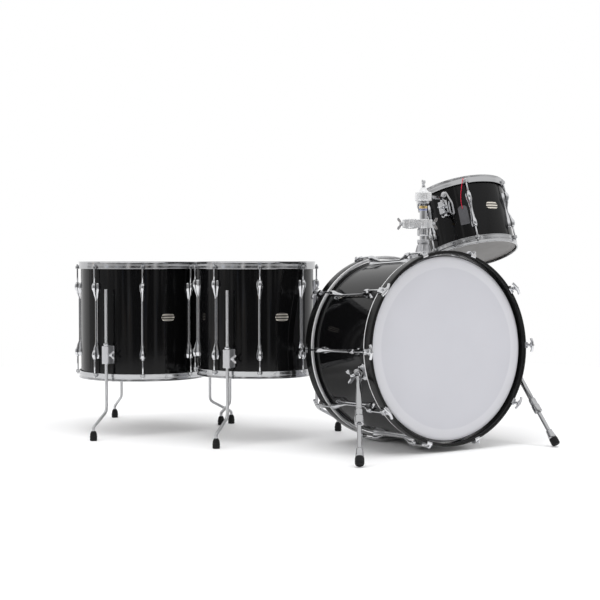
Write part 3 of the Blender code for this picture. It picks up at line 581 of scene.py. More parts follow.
# %% Lug sizes
TOM_LUG = {"height": ((0, 0.0165), (0.002, 0.0192), (0.006, 0.0215), (0.012, 0.0228), (0.019, 0.0226),
                      (0.034, 0.0160), (0.058, 0.0085)),
           "crown": ((0, 0.0095), (0.002, 0.0118), (0.006, 0.0142), (0.012, 0.0152), (0.019, 0.0144),
                     (0.036, 0.0075), (0.058, 0.0042)),
           "base": ((0, 0.0150), (0.003, 0.0185), (0.012, 0.0205), (0.022, 0.0200), (0.038, 0.0130),
                    (0.058, 0.0092))}
BASS_LUG = {"height": ((0, 0.0296), (0.003, 0.0300), (0.012, 0.0300), (0.022, 0.0290), (0.040, 0.0190),
                       (0.064, 0.0100)),
            "crown": ((0, 0.0105), (0.003, 0.0135), (0.010, 0.0165), (0.020, 0.0155), (0.040, 0.0090),
                      (0.064, 0.0052)),
            "base": ((0, 0.0170), (0.003, 0.0210), (0.012, 0.0240), (0.024, 0.0235), (0.042, 0.0150),
                     (0.064, 0.0105))}
LUG_STATIONS = (0, 0.0008, 0.002, 0.004, 0.0065, 0.0095, 0.013, 0.017, 0.0215, 0.0265, 0.032, 0.0385, 0.046,
                0.055, 0.065)
LUG_SUNK, FLANGE = 0.003, 0.0016


def eased(at, stops):
    """Value between (place, value) stops, with a smooth step from each to the next."""
    for (low, first), (high, last) in zip(stops, stops[1:]):
        if at <= high:
            t = max(0.0, (at - low) / (high - low))
            return first + (last - first) * t * t * (3 - 2 * t)
    return stops[-1][1]


print("tom lug stands", 1000 * max(height for _, height in TOM_LUG["height"]), "mm off the shell")

# %% [markdown]
# Each cross-section is drawn as one half and mirrored. It has a thin flange on the shell, a flank that
# curves in to a neck, and a crown that is an arc of a circle, which gives the long bright line down every
# lug.

# %% Lugs
NECK_IN, NECK_HALF, FLANK_HOLLOW, FLANK_STEPS = 0.62, 0.78, 2.2, 5
CROWN_ANGLES = (-15, 10, 35, 60, 80)


def lug_section(shell_radius, height, crown, base):
    """Half of a cross-section: a flange on the shell, a hollow flank, and a round crown."""
    half, centre = crown / 2, height - crown / 2
    neck_x, neck_y = centre - NECK_IN * half, NECK_HALF * half
    points = [(-LUG_SUNK, base / 2), (FLANGE, base / 2)]
    for t in (k / FLANK_STEPS for k in range(1, FLANK_STEPS + 1)):
        points.append((FLANGE + (neck_x - FLANGE) * t,
                       neck_y + (base / 2 - neck_y) * (1 - t) ** FLANK_HOLLOW))
    for degrees in CROWN_ANGLES:
        turn = math.radians(degrees)
        points.append((centre + half * math.sin(turn), half * math.cos(turn)))
    return [(shell_radius + x, y) for x, y in points]


def lug(shell_radius, length, form):
    """Long lug on the +X side, from one end of the shell to the other."""
    levels = [s - length / 2 for s in LUG_STATIONS if s < length / 2]
    rings = []
    for z in levels + [-level for level in reversed(levels)]:
        inset = length / 2 - abs(z)
        half = lug_section(shell_radius, *(eased(inset, form[key]) for key in ("height", "crown", "base")))
        rings.append([Vector((x, y, z)) for x, y in half] + [Vector((x, -y, z)) for x, y in reversed(half)])
    return lofted(rings)


measured("sample lug", lug(0.2, 0.268, TOM_LUG))

# %% [markdown]
# A tom is a shell between two heads, and each head is pulled down by a hoop. The shell is cut at 45 degrees
# at both ends. The film goes over that edge and down to a metal ring that is crimped on it. The hoop is a
# pressed band with a step half way down, a rolled top edge and one ear for each tension rod.

# %% Tom shell, heads and hoops
INCH = 0.0254
UNDERSIZE, SHELL_WALL, FILM, CUT_FLAT = 0.0012, 0.0075, 0.001, 0.0015
FLESH_DROP, FLESH_HEIGHT, FLESH_OUTER = 0.005, 0.006, 0.0053
RIM_RISE, HOOP_HEIGHT, HOOP_STEP = 0.008, 0.0265, 0.0125
EAR_OUT, EAR_WIDTH, EAR_HEIGHT = 0.0195, 0.017, 0.010
ROD_OUT, ROD_RADIUS = 0.0125, 0.0029
ROUND = 112


def shell(radius, depth):
    half, inner, flat, cut = depth / 2, radius - SHELL_WALL, radius - CUT_FLAT, SHELL_WALL - CUT_FLAT
    return turned([(radius - 0.0005, half), (radius, half - 0.0006), (radius, 0.0), (radius, -half + 0.0006),
                   (radius - 0.0005, -half), (flat, -half), (inner, -half + cut), (inner, half - cut),
                   (flat, half)], ROUND)


def film(radius, half):
    """Film over the edge, down to its crimped ring."""
    top, drop = half + GAP, half - FLESH_DROP - 0.0005
    return turned([(0, top + FILM), (radius - 0.012, top + FILM), (radius - 0.002, top + FILM * 0.9),
                   (radius + 0.0004, top + 0.0001), (radius + 0.0019, drop), (radius + 0.0013, drop),
                   (radius + 0.0004, top - 0.0008), (radius - 0.002, top), (0, top)], ROUND)


def flesh_ring(radius, half):
    top, low = half - FLESH_DROP, half - FLESH_DROP - FLESH_HEIGHT
    return spindle([(radius + 0.0021, top), (radius + FLESH_OUTER, top), (radius + FLESH_OUTER, low),
                    (radius + 0.0013, low)], 0.0008, ROUND)


def hoop(radius, half):
    """Pressed band: rolled top edge, upper wall, a step, and a lower skirt with a bead."""
    top = half + RIM_RISE
    step, bottom = top - HOOP_STEP, top - HOOP_HEIGHT
    wall = [(0.0030, top - 0.0001), (0.0074, top), (0.0078, top - 0.0022), (0.0066, top - 0.0034),
            (0.0064, step + 0.0010), (0.0076, step - 0.0010), (0.0074, bottom + 0.0034),
            (0.0080, bottom + 0.0022), (0.0079, bottom), (0.0059, bottom), (0.0058, step),
            (0.0030, step + 0.0006)]
    return spindle([(radius + out, z) for out, z in wall], 0.0009, ROUND)


measured("hoop of the 18 inch tom", hoop(9 * INCH - UNDERSIZE, 8 * INCH))

# %% [markdown]
# Each tension rod is a key screw: a square head that a drum key turns, a collar, a washer and a long round
# shaft that goes through the hoop's ear into the lug. The ear is a rounded tab that is pressed out of the
# hoop.

# %% Tension rods
WASHER_THICK, COLLAR_TOP, KEY_HEAD_TOP, KEY_HEAD_HALF = 0.0012, 0.0026, 0.0064, 0.0027


def ear(radius, half):
    bottom = half + RIM_RISE - HOOP_HEIGHT
    wide, root, out = EAR_WIDTH / 2, radius + 0.0066, radius + EAR_OUT
    outline = [(root, -wide), (out - 0.006, -wide), (out, -wide + 0.005), (out, wide - 0.005),
               (out - 0.006, wide), (root, wide)]
    return plate(softened(outline, 0.003, 3), bottom + 0.0006, bottom + EAR_HEIGHT - 0.0004)


def key_screw(head_at, end_at, radius=ROD_RADIUS):
    """Screw along Z from its washer's seat down to its end, with a square head on top."""
    washer_top, collar_top = head_at + WASHER_THICK, head_at + COLLAR_TOP
    collar = [(0, collar_top), (0.0046, collar_top), (0.0050, washer_top), (0, washer_top)]
    square = block((-KEY_HEAD_HALF, -KEY_HEAD_HALF, collar_top),
                   (KEY_HEAD_HALF, KEY_HEAD_HALF, head_at + KEY_HEAD_TOP), 0.0006)
    return gathered([bush(end_at, head_at, radius, edge=0.0004, sides=14),
                     bush(head_at, washer_top, 0.0056, edge=0.0005, sides=20),
                     spindle(collar, 0.0005, 20), square])


def tension_rod(radius, half, lug_length):
    """One rod on the +X side, placed over its lug."""
    seat = half + RIM_RISE - HOOP_HEIGHT + EAR_HEIGHT
    return shifted(key_screw(seat, lug_length / 2 + GAP), radius + ROD_OUT)


measured("key screw", key_screw(0.040, 0.0))

# %% [markdown]
# The badge is a thin oval plate, bent to the shell, with a raised edge. Its outline is a full oval: a
# circle's sine and cosine are raised to a power below 1, which pushes the curve out towards its corners.

# %% Badge
BADGE_WIDTH, BADGE_HEIGHT, BADGE_POINTS = 0.049, 0.029, 40
FULL_WIDE, FULL_HIGH = 0.85, 0.75
BADGE_RINGS = ((1.0, 0.0), (1.0, 0.0011), (0.93, 0.0017), (0.90, 0.0012), (0.5, 0.0013), (0.02, 0.0013))


def filled_out(value, power):
    """A sine or cosine brought nearer to 1 or -1, which makes an oval fuller."""
    return math.copysign(abs(value) ** power, value)


def badge(radius):
    """Oval plate bent to the shell, on the +X side."""
    rings = []
    for scale, off in BADGE_RINGS:
        ring = []
        for k in range(BADGE_POINTS):
            t = ALL_ROUND * k / BADGE_POINTS
            y = scale * BADGE_WIDTH / 2 * filled_out(math.cos(t), FULL_WIDE)
            z = scale * BADGE_HEIGHT / 2 * filled_out(math.sin(t), FULL_HIGH)
            ring.append(Vector((math.sqrt(radius ** 2 - y * y) + off, y, z)))
        rings.append(ring)
    return lofted(rings)


measured("badge", badge(0.2))

# %% [markdown]
# With those solids, one function dresses any of the three toms. The lower head, hoop and rods are the upper
# ones turned upside down. Where a lug meets a rod there is a small receiver nut, and each lug is held by
# two screws from inside that don't show.

# %% Dress a tom
UPSIDE_DOWN = Matrix.Scale(-1, 4, UP)


def dress_tom(name, at, diameter, depth, lugs, lug_length, first_lug, badge_at):
    """Shell, lugs, heads, hoops, rods and badge, on the body of the same name; angles are from -Y."""
    radius, half = diameter / 2 - UNDERSIZE, depth / 2
    angles = [first_lug - 90 + 360 * k / lugs for k in range(lugs)]
    piece(f"{name}_lacquered_shell", shell(radius, depth), LACQUER, name, at, stands_for=(f"{name}_shell",))
    piece(f"{name}_lugs", round_about(lug(radius, lug_length, TOM_LUG), angles), CHROME, name, at)
    nut = spindle([(0.0029, 0.0012), (0.0056, 0.0012), (0.0060, -0.006), (0.0029, -0.006)], 0.0006, 18)
    nut = shifted(nut, radius + ROD_OUT, 0, lug_length / 2)
    nuts = round_about(gathered([nut, moved(nut, UPSIDE_DOWN)]), angles)
    piece(f"{name}_receivers", nuts, CHROME, name, at)
    for end, turn, head in (("top", UPRIGHT, COATED), ("bottom", UPSIDE_DOWN, CLEAR)):
        for part, solid, paint, bevel, node in (
                ("film", film(radius, half), head, 0, "head"),
                ("flesh_ring", flesh_ring(radius, half), HOOP_STEEL, 0, None),
                ("band", hoop(radius, half), HOOP_STEEL, 0, "hoop"),
                ("ears", round_about(ear(radius, half), angles), HOOP_STEEL, CAST_BEVEL, None),
                ("rods", round_about(tension_rod(radius, half, lug_length), angles), CHROME, 0, None)):
            piece(f"{name}_{end}_{part}", moved(solid, turn), paint, name, at, bevel=bevel,
                  stands_for=(f"{name}_{end}_{node}",) if node else ())
    badge_turn, badge_high = badge_at
    badge_frame = at @ Matrix.Translation((0, 0, badge_high)) @ spun(badge_turn - 90)
    paint = badge_paint(f"{name}_badge", badge_frame.translation, badge_frame.col[2].xyz)
    piece(f"{name}_badge", badge(radius), paint, name, badge_frame)


# %% [markdown]
# The floor toms stand on three bent legs. Each leg is a steel rod in a cast clamp on the shell, gripped by
# a wing bolt from the side, with a memory collar above it and a ribbed rubber foot pushed on its end.

# %% Floor tom sizes
FLOOR_TOMS = {
    "floor_tom_1": {"at": Vector((-0.5976, 0.2744, 0)), "diameter": 18 * INCH, "depth": 16 * INCH,
                    "first_lug": 7.0, "badge_at": (30.0, 0.0135)},
    "floor_tom_2": {"at": Vector((-0.1726, 0.0789, 0)), "diameter": 16 * INCH, "depth": 15 * INCH,
                    "first_lug": 5.5, "badge_at": (27.8, 0.0095)}}
FLOOR_TOM_RIM_HEIGHT, FLOOR_TOM_LUGS, FLOOR_TOM_LUG_LENGTH = 0.6175, 8, 0.268
LEG_RADIUS, LEG_OUT, LEG_TOP, LEG_END = 0.0056, 0.030, 0.520, 0.018
LEG_ELBOW, LEG_ANKLE, LEG_REACH, LEG_BEND, ANKLE_BEND = 0.092, 0.046, 0.085, 0.026, 0.012
LEG_ANGLES = {"a": -22.5, "b": 112, "c": -153}
FOOT_RADIUS, FOOT_HEIGHT = 0.0127, 0.034
FOOT_WALL = ((0.86, 0.0), (0.97, 0.0025), (1, 0.0075), (0.93, 0.0088), (0.93, 0.0100), (1, 0.0112),
             (0.99, 0.0165), (0.90, 0.0178), (0.90, 0.0190), (0.94, 0.0202), (0.88, 0.0245), (0.76, 0.0290),
             (0.58, 0.0325))
CLAMP_WIDTH, CLAMP_HEIGHT, CLAMP_OUT, CLAMP_LEVEL, LEG_HUB = 0.026, 0.062, 0.041, 0.290, 0.008
MEMORY_RADIUS, MEMORY_LOW, MEMORY_HIGH = 0.0098, 0.002, 0.010      # its levels are above the clamp
print("floor toms at", {name: tuple(round(x, 3) for x in tom["at"]) for name, tom in FLOOR_TOMS.items()})

# %% [markdown]
# The leg is swept along its bent path. The foot is turned, with a domed side and two grooves. The clamp is
# a square casting with a real bore for the leg, on a back plate that is screwed to the shell.

# %% Legs, feet and clamps
def leg_path(radius):
    upright, foot = radius + LEG_OUT, radius + LEG_OUT + LEG_REACH
    corners = [Vector((upright, 0, LEG_TOP)), Vector((upright, 0, LEG_ELBOW)), Vector((foot, 0, LEG_ANKLE)),
               Vector((foot, 0, LEG_END))]
    lower, upper = rounded_path(corners[1:], ANKLE_BEND), rounded_path(corners[:3], LEG_BEND)
    return upper[:-1] + lower[1:]


def rubber_foot():
    """Rubber foot with a domed side, two grooves and a flat sole."""
    wall = [(FOOT_RADIUS * share, z) for share, z in FOOT_WALL]
    return turned([(0, 0), *wall, (0.0062, FOOT_HEIGHT), (0, FOOT_HEIGHT)], 28)


def leg_clamp(radius, upright, level):
    """Cast clamp on the +X side: a back plate, and a square body that the leg goes through."""
    low, high, wide = level - CLAMP_HEIGHT / 2, level + CLAMP_HEIGHT / 2, CLAMP_WIDTH / 2
    back = block((radius - 0.002, -wide - 0.001, low), (radius + 0.005, wide + 0.001, high), 0.003, "x")
    root, face = radius + 0.003, radius + CLAMP_OUT
    outline = softened([(root, -wide), (face, -wide), (face, wide), (root, wide)], 0.0045, 4)
    body = pierced(outline, [circle(upright, 0, LEG_RADIUS + GAP)], low, high)
    boss = bush(-0.010, 0.0, 0.0080, 0.0035, 0.0008, 24)
    seat = along(Vector((upright, wide + GAP / 2, level)), Vector((0, 1, 0)))
    return gathered([back, body, moved(boss, seat)])


measured("rubber foot", rubber_foot())

# %% [markdown]
# Each floor tom is dressed in its own frame, at the middle of its shell. The leg clamps belong to that
# frame too. The rods, collars and feet are placed from the floor and ride on the sliding leg, so they stay
# together at any height.

# %% Floor toms
for name, tom in FLOOR_TOMS.items():
    radius = tom["diameter"] / 2 - UNDERSIZE
    middle = FLOOR_TOM_RIM_HEIGHT - RIM_RISE - tom["depth"] / 2
    drum, ground = Matrix.Translation(tom["at"] + UP * middle), Matrix.Translation(tom["at"])
    dress_tom(name, drum, tom["diameter"], tom["depth"], FLOOR_TOM_LUGS, FLOOR_TOM_LUG_LENGTH,
              tom["first_lug"], tom["badge_at"])
    upright, level = radius + LEG_OUT, CLAMP_LEVEL - middle
    seat = Vector((upright, CLAMP_WIDTH / 2 + GAP, level))
    memory = CLAMP_LEVEL + CLAMP_HEIGHT / 2
    for leg, angle in LEG_ANGLES.items():
        turn, slider = spun(angle - 90), f"{name}_leg_{leg}_slider"
        piece(f"{name}_leg_clamp_{leg}", moved(leg_clamp(radius, upright, level), turn), CAST_METAL, name,
              drum, bevel=CAST_BEVEL)
        piece(f"{name}_leg_rod_{leg}", moved(swept(leg_path(radius), LEG_RADIUS), turn), SATIN_STEEL, slider,
              ground, bevel=CAST_BEVEL, stands_for=(f"{name}_leg_{leg}",))
        collar = bush(memory + MEMORY_LOW, memory + MEMORY_HIGH, MEMORY_RADIUS, LEG_RADIUS + GAP, 0.0008, 28)
        piece(f"{name}_leg_collar_{leg}", moved(shifted(collar, upright), turn), CHROME, slider, ground)
        piece(f"{name}_rubber_foot_{leg}", moved(shifted(rubber_foot(), upright + LEG_REACH), turn), RUBBER,
              slider, ground, stands_for=(f"{name}_foot_{leg}",))
        add_wing_bolt(f"{name}_wing_bolt_{leg}", turn @ seat, turn @ Vector((0, 1, 0)),
                      CLAMP_WIDTH / 2 - LEG_RADIUS - GAP, LEG_HUB, f"{name}_wing_{leg}", drum,
                      f"{name}_bolt_{leg}", 90, grip=0.013)
print("floor toms dressed", len(made_pieces))

# %% [markdown]
# The bass drum lies on its side and leans back by a couple of degrees, so its frame has +Z towards the
# audience and +Y up. Its wood hoops stand proud of the shell, with a steel rim behind each, and chromed
# claws hook over them.

# %% Bass drum frame
BASS_RADIUS, BASS_DEPTH = 12 * INCH - 0.0032, 14 * INCH
BASS_FRONT_AT, BASS_YAW, BASS_TILT = Vector((0.4744, -0.2661, 0)), math.radians(30.5), math.radians(2.4)
WOOD_HOOP_RADIUS, WOOD_HOOP_WALL, WOOD_HOOP_WIDTH, WOOD_HOOP_RISE = 0.318, 0.0105, 0.036, 0.020
BASS_LUGS, BASS_LUG_LENGTH = 10, 0.236
BASS_HALF = BASS_DEPTH / 2
HOOP_FACE, HOOP_BACK = BASS_HALF + WOOD_HOOP_RISE, BASS_HALF + WOOD_HOOP_RISE - WOOD_HOOP_WIDTH


def bass_matrix():
    front = Vector((math.sin(BASS_YAW) * math.cos(BASS_TILT), -math.cos(BASS_YAW) * math.cos(BASS_TILT),
                    math.sin(BASS_TILT)))
    middle = BASS_FRONT_AT - front * HOOP_FACE
    middle.z = WOOD_HOOP_RADIUS * math.cos(BASS_TILT) + HOOP_FACE * math.sin(BASS_TILT)
    return framed(middle, Vector((math.cos(BASS_YAW), math.sin(BASS_YAW), 0)), front)


BASS = bass_matrix()
print("bass drum middle", [round(x, 3) for x in BASS.translation])

# %% [markdown]
# The wood hoop's corners are rounded, and the film dips from the shell's edge into the space inside the
# hoop. The steel rim behind the hoop is the bright ring that shows between the black hoop and the shell.

# %% Bass drum shell, hoops and heads
BASS_ROUND, EDGE_CUT = 144, 0.006
RIM_INSET, RIM_WALL, RIM_WIDTH = 0.001, 0.0095, 0.0045
TURNED_ROUND = Matrix.Rotation(math.pi, 4, "Y")
hoop_inside = WOOD_HOOP_RADIUS - WOOD_HOOP_WALL


def bass_shell():
    half, inner, flat = BASS_HALF, BASS_RADIUS - SHELL_WALL, BASS_RADIUS - CUT_FLAT
    return turned([(BASS_RADIUS, half - 0.0006), (BASS_RADIUS, -half + 0.0006), (flat, -half),
                   (inner, -half + EDGE_CUT), (inner, half - EDGE_CUT), (flat, half)], BASS_ROUND)


def bass_film():
    """Film over the shell's edge and down inside the hoop."""
    top, edge = BASS_HALF + GAP + FILM, BASS_RADIUS - 0.002
    inside, low = hoop_inside - 0.0038, HOOP_BACK + 0.003
    return turned([(0, top), (edge - 0.010, top), (edge - 0.002, top - 0.0002), (edge + 0.0030, top - 0.0035),
                   (inside, top - 0.0080), (inside, low), (BASS_RADIUS + 0.0012, low),
                   (BASS_RADIUS + 0.0010, top - 0.005), (edge - 0.002, top - FILM),
                   (0, top - FILM)], BASS_ROUND)


wood_hoop = bush(HOOP_BACK, HOOP_FACE, WOOD_HOOP_RADIUS, hoop_inside, 0.003, BASS_ROUND, 4)
rim_back, rim_outer = HOOP_BACK - GAP, WOOD_HOOP_RADIUS - RIM_INSET
steel_rim = bush(rim_back - RIM_WIDTH, rim_back, rim_outer, rim_outer - RIM_WALL, 0.0018, BASS_ROUND, 3)

BASS_ANGLES = [360 / BASS_LUGS * k for k in range(BASS_LUGS)]
BASS_ENDS = (("front", UPRIGHT), ("rear", TURNED_ROUND))
BASS_FILMS = {"front": coated("white_front_film", BASS), "rear": COATED}
piece("bass_lacquered_shell", bass_shell(), LACQUER, "bass_drum", BASS, stands_for=("bass_shell",))
bass_lugs = round_about(lug(BASS_RADIUS, BASS_LUG_LENGTH, BASS_LUG), BASS_ANGLES)
piece("bass_lugs", bass_lugs, CHROME, "bass_drum", BASS)
for end, turn in BASS_ENDS:
    piece(f"bass_{end}_film", moved(bass_film(), turn), BASS_FILMS[end], "bass_drum", BASS,
          stands_for=(f"bass_{end}_head",))
    piece(f"bass_{end}_steel_rim", moved(steel_rim, turn), BRIGHT_SATIN, "bass_drum", BASS)
    piece(f"bass_{end}_wood_hoop", moved(wood_hoop, turn), HOOP_BLACK, "bass_drum", BASS,
          stands_for=(f"bass_{end}_hoop",))
measured("wood hoop", wood_hoop)

# %% [markdown]
# A claw is a bent casting: it hooks over the hoop's face, runs down its outside and ends in a barrel that
# the rod goes through. Six rods on each hoop have a T-handle to turn by hand, and the four at the top and
# bottom, which would foul the floor or the tom, take a drum key.

# %% Claws
CLAW_ROD_OUT, CLAW_WIDTH, CLAW_THICK, CLAW_ROD_RADIUS = 0.0090, 0.020, 0.003, 0.0033
CLAW_ROD_AT = WOOD_HOOP_RADIUS + CLAW_ROD_OUT
CLAW_WALL = ((-0.0070, -0.0010), (-0.0072, CLAW_THICK * 0.7), (-0.0040, CLAW_THICK), (0.0035, CLAW_THICK),
             (0.0080, -0.0010), (CLAW_ROD_OUT + 0.0034, -0.0080), (CLAW_ROD_OUT + 0.0036, -0.0235),
             (0.0002, -0.0235), (0.0002, 0.0002))
T_HANDLE_ANGLES = (0, 36, 144, 180, 216, 324)
T_HANDLE_LENGTH, T_HANDLE_STANDOFF, T_HANDLE_BEND = 0.044, 0.018, 0.0065
T_BAR_RADIUS, T_WEB_RADIUS = 0.0045, 0.0024
# A slice across the claw is a share of half its width, and of its full distance off the hoop.
CLAW_SLICES = ((-1, 0.72), (-0.86, 1.0), (0.86, 1.0), (1, 0.72))


def claw():
    """Claw over the hoop on the +X side."""
    outer = WOOD_HOOP_RADIUS
    outline = softened([(outer + x, HOOP_FACE + z) for x, z in CLAW_WALL], 0.0016, 3)
    rings = []
    for share, trim in CLAW_SLICES:
        rings.append([Vector((outer + (x - outer) * (trim if x > outer else 1.0), share * CLAW_WIDTH / 2, z))
                      for x, z in outline])
    barrel = bush(HOOP_FACE - 0.0240, HOOP_FACE - 0.0015, 0.0066, CLAW_ROD_RADIUS, 0.001, 24)
    return gathered([lofted(rings), shifted(barrel, CLAW_ROD_AT - 0.0026)])


def claw_rod(with_handle):
    """Rod through the claw to the lug, with a T-handle or a square head."""
    end = BASS_LUG_LENGTH / 2 + GAP
    if not with_handle:
        return shifted(key_screw(HOOP_FACE + 0.001, end, CLAW_ROD_RADIUS), CLAW_ROD_AT)
    top, half = HOOP_FACE + T_HANDLE_STANDOFF, T_HANDLE_LENGTH / 2
    neck = spindle([(0, top + 0.0048), (0.0060, top + 0.0048), (0.0064, top - 0.0035), (0.0046, top - 0.0125),
                    (0, top - 0.0125)], 0.001, 20)
    bend = [Vector((0, half * t, top + 0.0025 - T_HANDLE_BEND * t * t))
            for t in (k / 6 for k in range(-6, 7))]
    web_foot = Vector((0, 0, top - 0.011))
    webs = [swept([web_foot, Vector((0, way * half * 0.72, top + 0.0005))], T_WEB_RADIUS, 10)
            for way in (-1, 1)]
    parts = [bush(end, top, CLAW_ROD_RADIUS, edge=0.0004, sides=16),
             bush(HOOP_FACE - 0.0015, HOOP_FACE + 0.0012, 0.0058, edge=0.0006, sides=20),
             neck, swept(bend, T_BAR_RADIUS, 14), *webs]
    return shifted(gathered(parts), CLAW_ROD_AT)


by_hand = [angle for angle in BASS_ANGLES if round(angle) in T_HANDLE_ANGLES]
by_key = [angle for angle in BASS_ANGLES if round(angle) not in T_HANDLE_ANGLES]
for end, turn in BASS_ENDS:
    for part, solid, angles in (("claws", claw(), BASS_ANGLES), ("t_rods", claw_rod(True), by_hand),
                                ("key_rods", claw_rod(False), by_key)):
        piece(f"bass_{end}_{part}", moved(round_about(solid, angles), turn), CHROME, "bass_drum", BASS)
measured("claw", claw())
print("T-handles", len(by_hand), "key rods", len(by_key))

# %% [markdown]
# Each spur folds on a round bracket. A toothed disc on the shell meets a knuckle on the outer tube, and a
# wing bolt clamps the two. The tube ends in a thick sleeve that grips the inner rod, and the rod ends in a
# cone and a rubber tip.

# %% Spur sizes
SPUR_TIPS = {"left": Vector((0.1604, -0.5836, 0)), "right": Vector((0.8354, -0.1826, 0))}
SPUR_SETBACK, SPUR_DROP = 0.070, 12.4
SPUR_PLATE_THICK, SPUR_BOSS_THICK, KNUCKLE_THICK, KNUCKLE_RADIUS = 0.006, 0.008, 0.016, 0.0175
SPUR_PIN_RADIUS, SPUR_TUBE_RADIUS, SPUR_TUBE_START = 0.005, 0.0095, 0.0145
SPUR_ROD_RADIUS, SPUR_ROD_START = 0.0072, 0.085
SPUR_SLEEVE_RADIUS, SPUR_SLEEVE_START, SPUR_SLEEVE_END = 0.0142, 0.137, 0.188
SPUR_CONE_LENGTH, SPUR_TIP_LENGTH, SPUR_TIP_RADIUS, SPUR_TIP_DEEP = 0.038, 0.026, 0.0145, 0.012
BOSS_TOP = SPUR_PLATE_THICK + SPUR_BOSS_THICK
PIN_TOP = BOSS_TOP + KNUCKLE_THICK + 2 * GAP
SPUR_TEETH, TOOTH_DEPTH, TIP_LEAN, SETTLING_ROUNDS = 30, 0.0009, 0.85, 3
print("spur pivot pin is", round(1000 * PIN_TOP, 1), "mm long")

# %% [markdown]
# The bracket, tube, rod and tip are turned. Only the bracket's toothed disc is lofted, from a star-shaped
# ring. The tube, rod and tip share one axis that starts at the pivot, so their profiles are heights along
# the leg.

# %% Spur parts
def toothed(radius, low, high, teeth, depth):
    """Disc whose rim has fine teeth."""
    return lofted([[polar(radius - (depth if k % 2 else 0.0), 180 / teeth * k, z) for k in range(2 * teeth)]
                   for z in (low, high)])


def spur_bracket():
    face = SPUR_PLATE_THICK
    disc = spindle([(0, face), (0.022, face), (0.0268, face - 0.0025), (0.0268, 0), (0, 0)], 0.0012, 40)
    screw = spindle([(0, 0.0022), (0.0035, 0.0022), (0.0040, 0), (0, 0)], 0.0006, 14)
    screws = [shifted(screw, *polar(0.0222, angle, face - 0.0008)) for angle in (45, 135, 225, 315)]
    return gathered([disc, toothed(0.0170, face - 0.001, BOSS_TOP, SPUR_TEETH, TOOTH_DEPTH),
                     bush(BOSS_TOP - 0.001, PIN_TOP, SPUR_PIN_RADIUS, edge=0.0005, sides=20), *screws])


def spur_tube():
    """Outer tube with its two-step sleeve."""
    start, end, bore = SPUR_SLEEVE_START, SPUR_SLEEVE_END, SPUR_ROD_RADIUS + GAP
    sleeve = spindle([(bore, start - 0.002), (0.0105, start - 0.002), (0.0124, start + 0.001),
                      (0.0124, start + 0.022), (SPUR_SLEEVE_RADIUS, start + 0.025),
                      (SPUR_SLEEVE_RADIUS, end - 0.010), (SPUR_SLEEVE_RADIUS, end), (bore, end)], 0.0012, 32)
    tube = bush(SPUR_TUBE_START, start, SPUR_TUBE_RADIUS, SPUR_TUBE_RADIUS * 0.8, 0.001, 32)
    return gathered([tube, sleeve])


def spur_rod(socket):
    """Inner rod whose cone ends in a pin for the rubber tip."""
    cone, deep = socket - SPUR_CONE_LENGTH, socket + SPUR_TIP_DEEP
    return spindle([(0, SPUR_ROD_START), (SPUR_ROD_RADIUS, SPUR_ROD_START), (SPUR_ROD_RADIUS, cone + 0.006),
                    (0.0104, cone + 0.009), (0.0112, cone + 0.018), (0.0126, socket - 0.008),
                    (0.0134, socket - 0.006), (0.0134, socket - GAP), (0.005, socket - GAP), (0.005, deep),
                    (0, deep)], 0.001, 32)


def spur_tip(socket, low):
    """Rubber tip from the cone to the floor."""
    wall, deep = SPUR_TIP_RADIUS, socket + SPUR_TIP_DEEP
    return spindle([(0.0053, socket), (wall * 0.97, socket), (wall, socket + 0.006), (wall, low - 0.007),
                    (wall * 0.93, low - 0.0025), (wall * 0.80, low - 0.0003), (0, low - 0.0003), (0, deep),
                    (0.0053, deep)], 0.0040, 32, 4)


measured("spur bracket", spur_bracket())

# %% [markdown]
# A spur leans, so its tip touches the floor with its rounded edge, and the end of its axis stands a little
# above the photographed point. How far depends on the slope, and the slope on how far: three rounds settle
# it.

# %% Spurs
for side, tip in SPUR_TIPS.items():
    out = polar(1, -SPUR_DROP if side == "right" else 180 + SPUR_DROP)
    root = out * (BASS_RADIUS + GAP) + UP * (HOOP_FACE - SPUR_SETBACK)
    piece(f"{side}_spur_disc", moved(spur_bracket(), along(root, out)), CHROME, "bass_drum", BASS,
          bevel=0.0004, stands_for=(f"{side}_spur_bracket",))
    thick = KNUCKLE_THICK / 2
    pivot = root + out * (BOSS_TOP + GAP + thick)
    end = BASS.inverted() @ tip
    for _ in range(SETTLING_ROUNDS):
        slope = (BASS.to_3x3() @ (end - pivot)).normalized()
        end = BASS.inverted() @ (tip + UP * SPUR_TIP_RADIUS * TIP_LEAN * math.sqrt(1 - slope.z ** 2))
    reach, leg = (end - pivot).length, along(pivot, end - pivot)
    knuckle = bush(-thick, thick, KNUCKLE_RADIUS, SPUR_PIN_RADIUS + GAP, 0.0018, 40, 3)
    piece(f"{side}_spur_outer_tube", gathered([moved(knuckle, along(pivot, out)), moved(spur_tube(), leg)]),
          HOOP_STEEL, f"{side}_spur", BASS, stands_for=(f"{side}_spur_tube",))
    socket = reach - SPUR_TIP_LENGTH
    piece(f"{side}_spur_inner_rod", moved(spur_rod(socket), leg), HOOP_STEEL, f"{side}_spur_leg", BASS,
          stands_for=(f"{side}_spur_rod",))
    piece(f"{side}_spur_rubber_tip", moved(spur_tip(socket, reach), leg), RUBBER, f"{side}_spur_leg", BASS,
          stands_for=(f"{side}_spur_foot",))
    add_wing_bolt(f"{side}_spur_wing_bolt", root + out * (PIN_TOP + GAP), out, 0, 0.018,
                  f"{side}_spur_wing", BASS, f"{side}_spur_bolt", wings=0.046, grip=0.018)
print("spur reach", round(reach, 3))

# %% [markdown]
# The tom holder stands on the bass drum. From the bottom up it has a cast base on the shell, a post with a
# stop collar, a clamp with a spare socket for a cymbal arm, a sleeve with two coloured bands, and the round
# housing that grips the ball of the tom's arm.

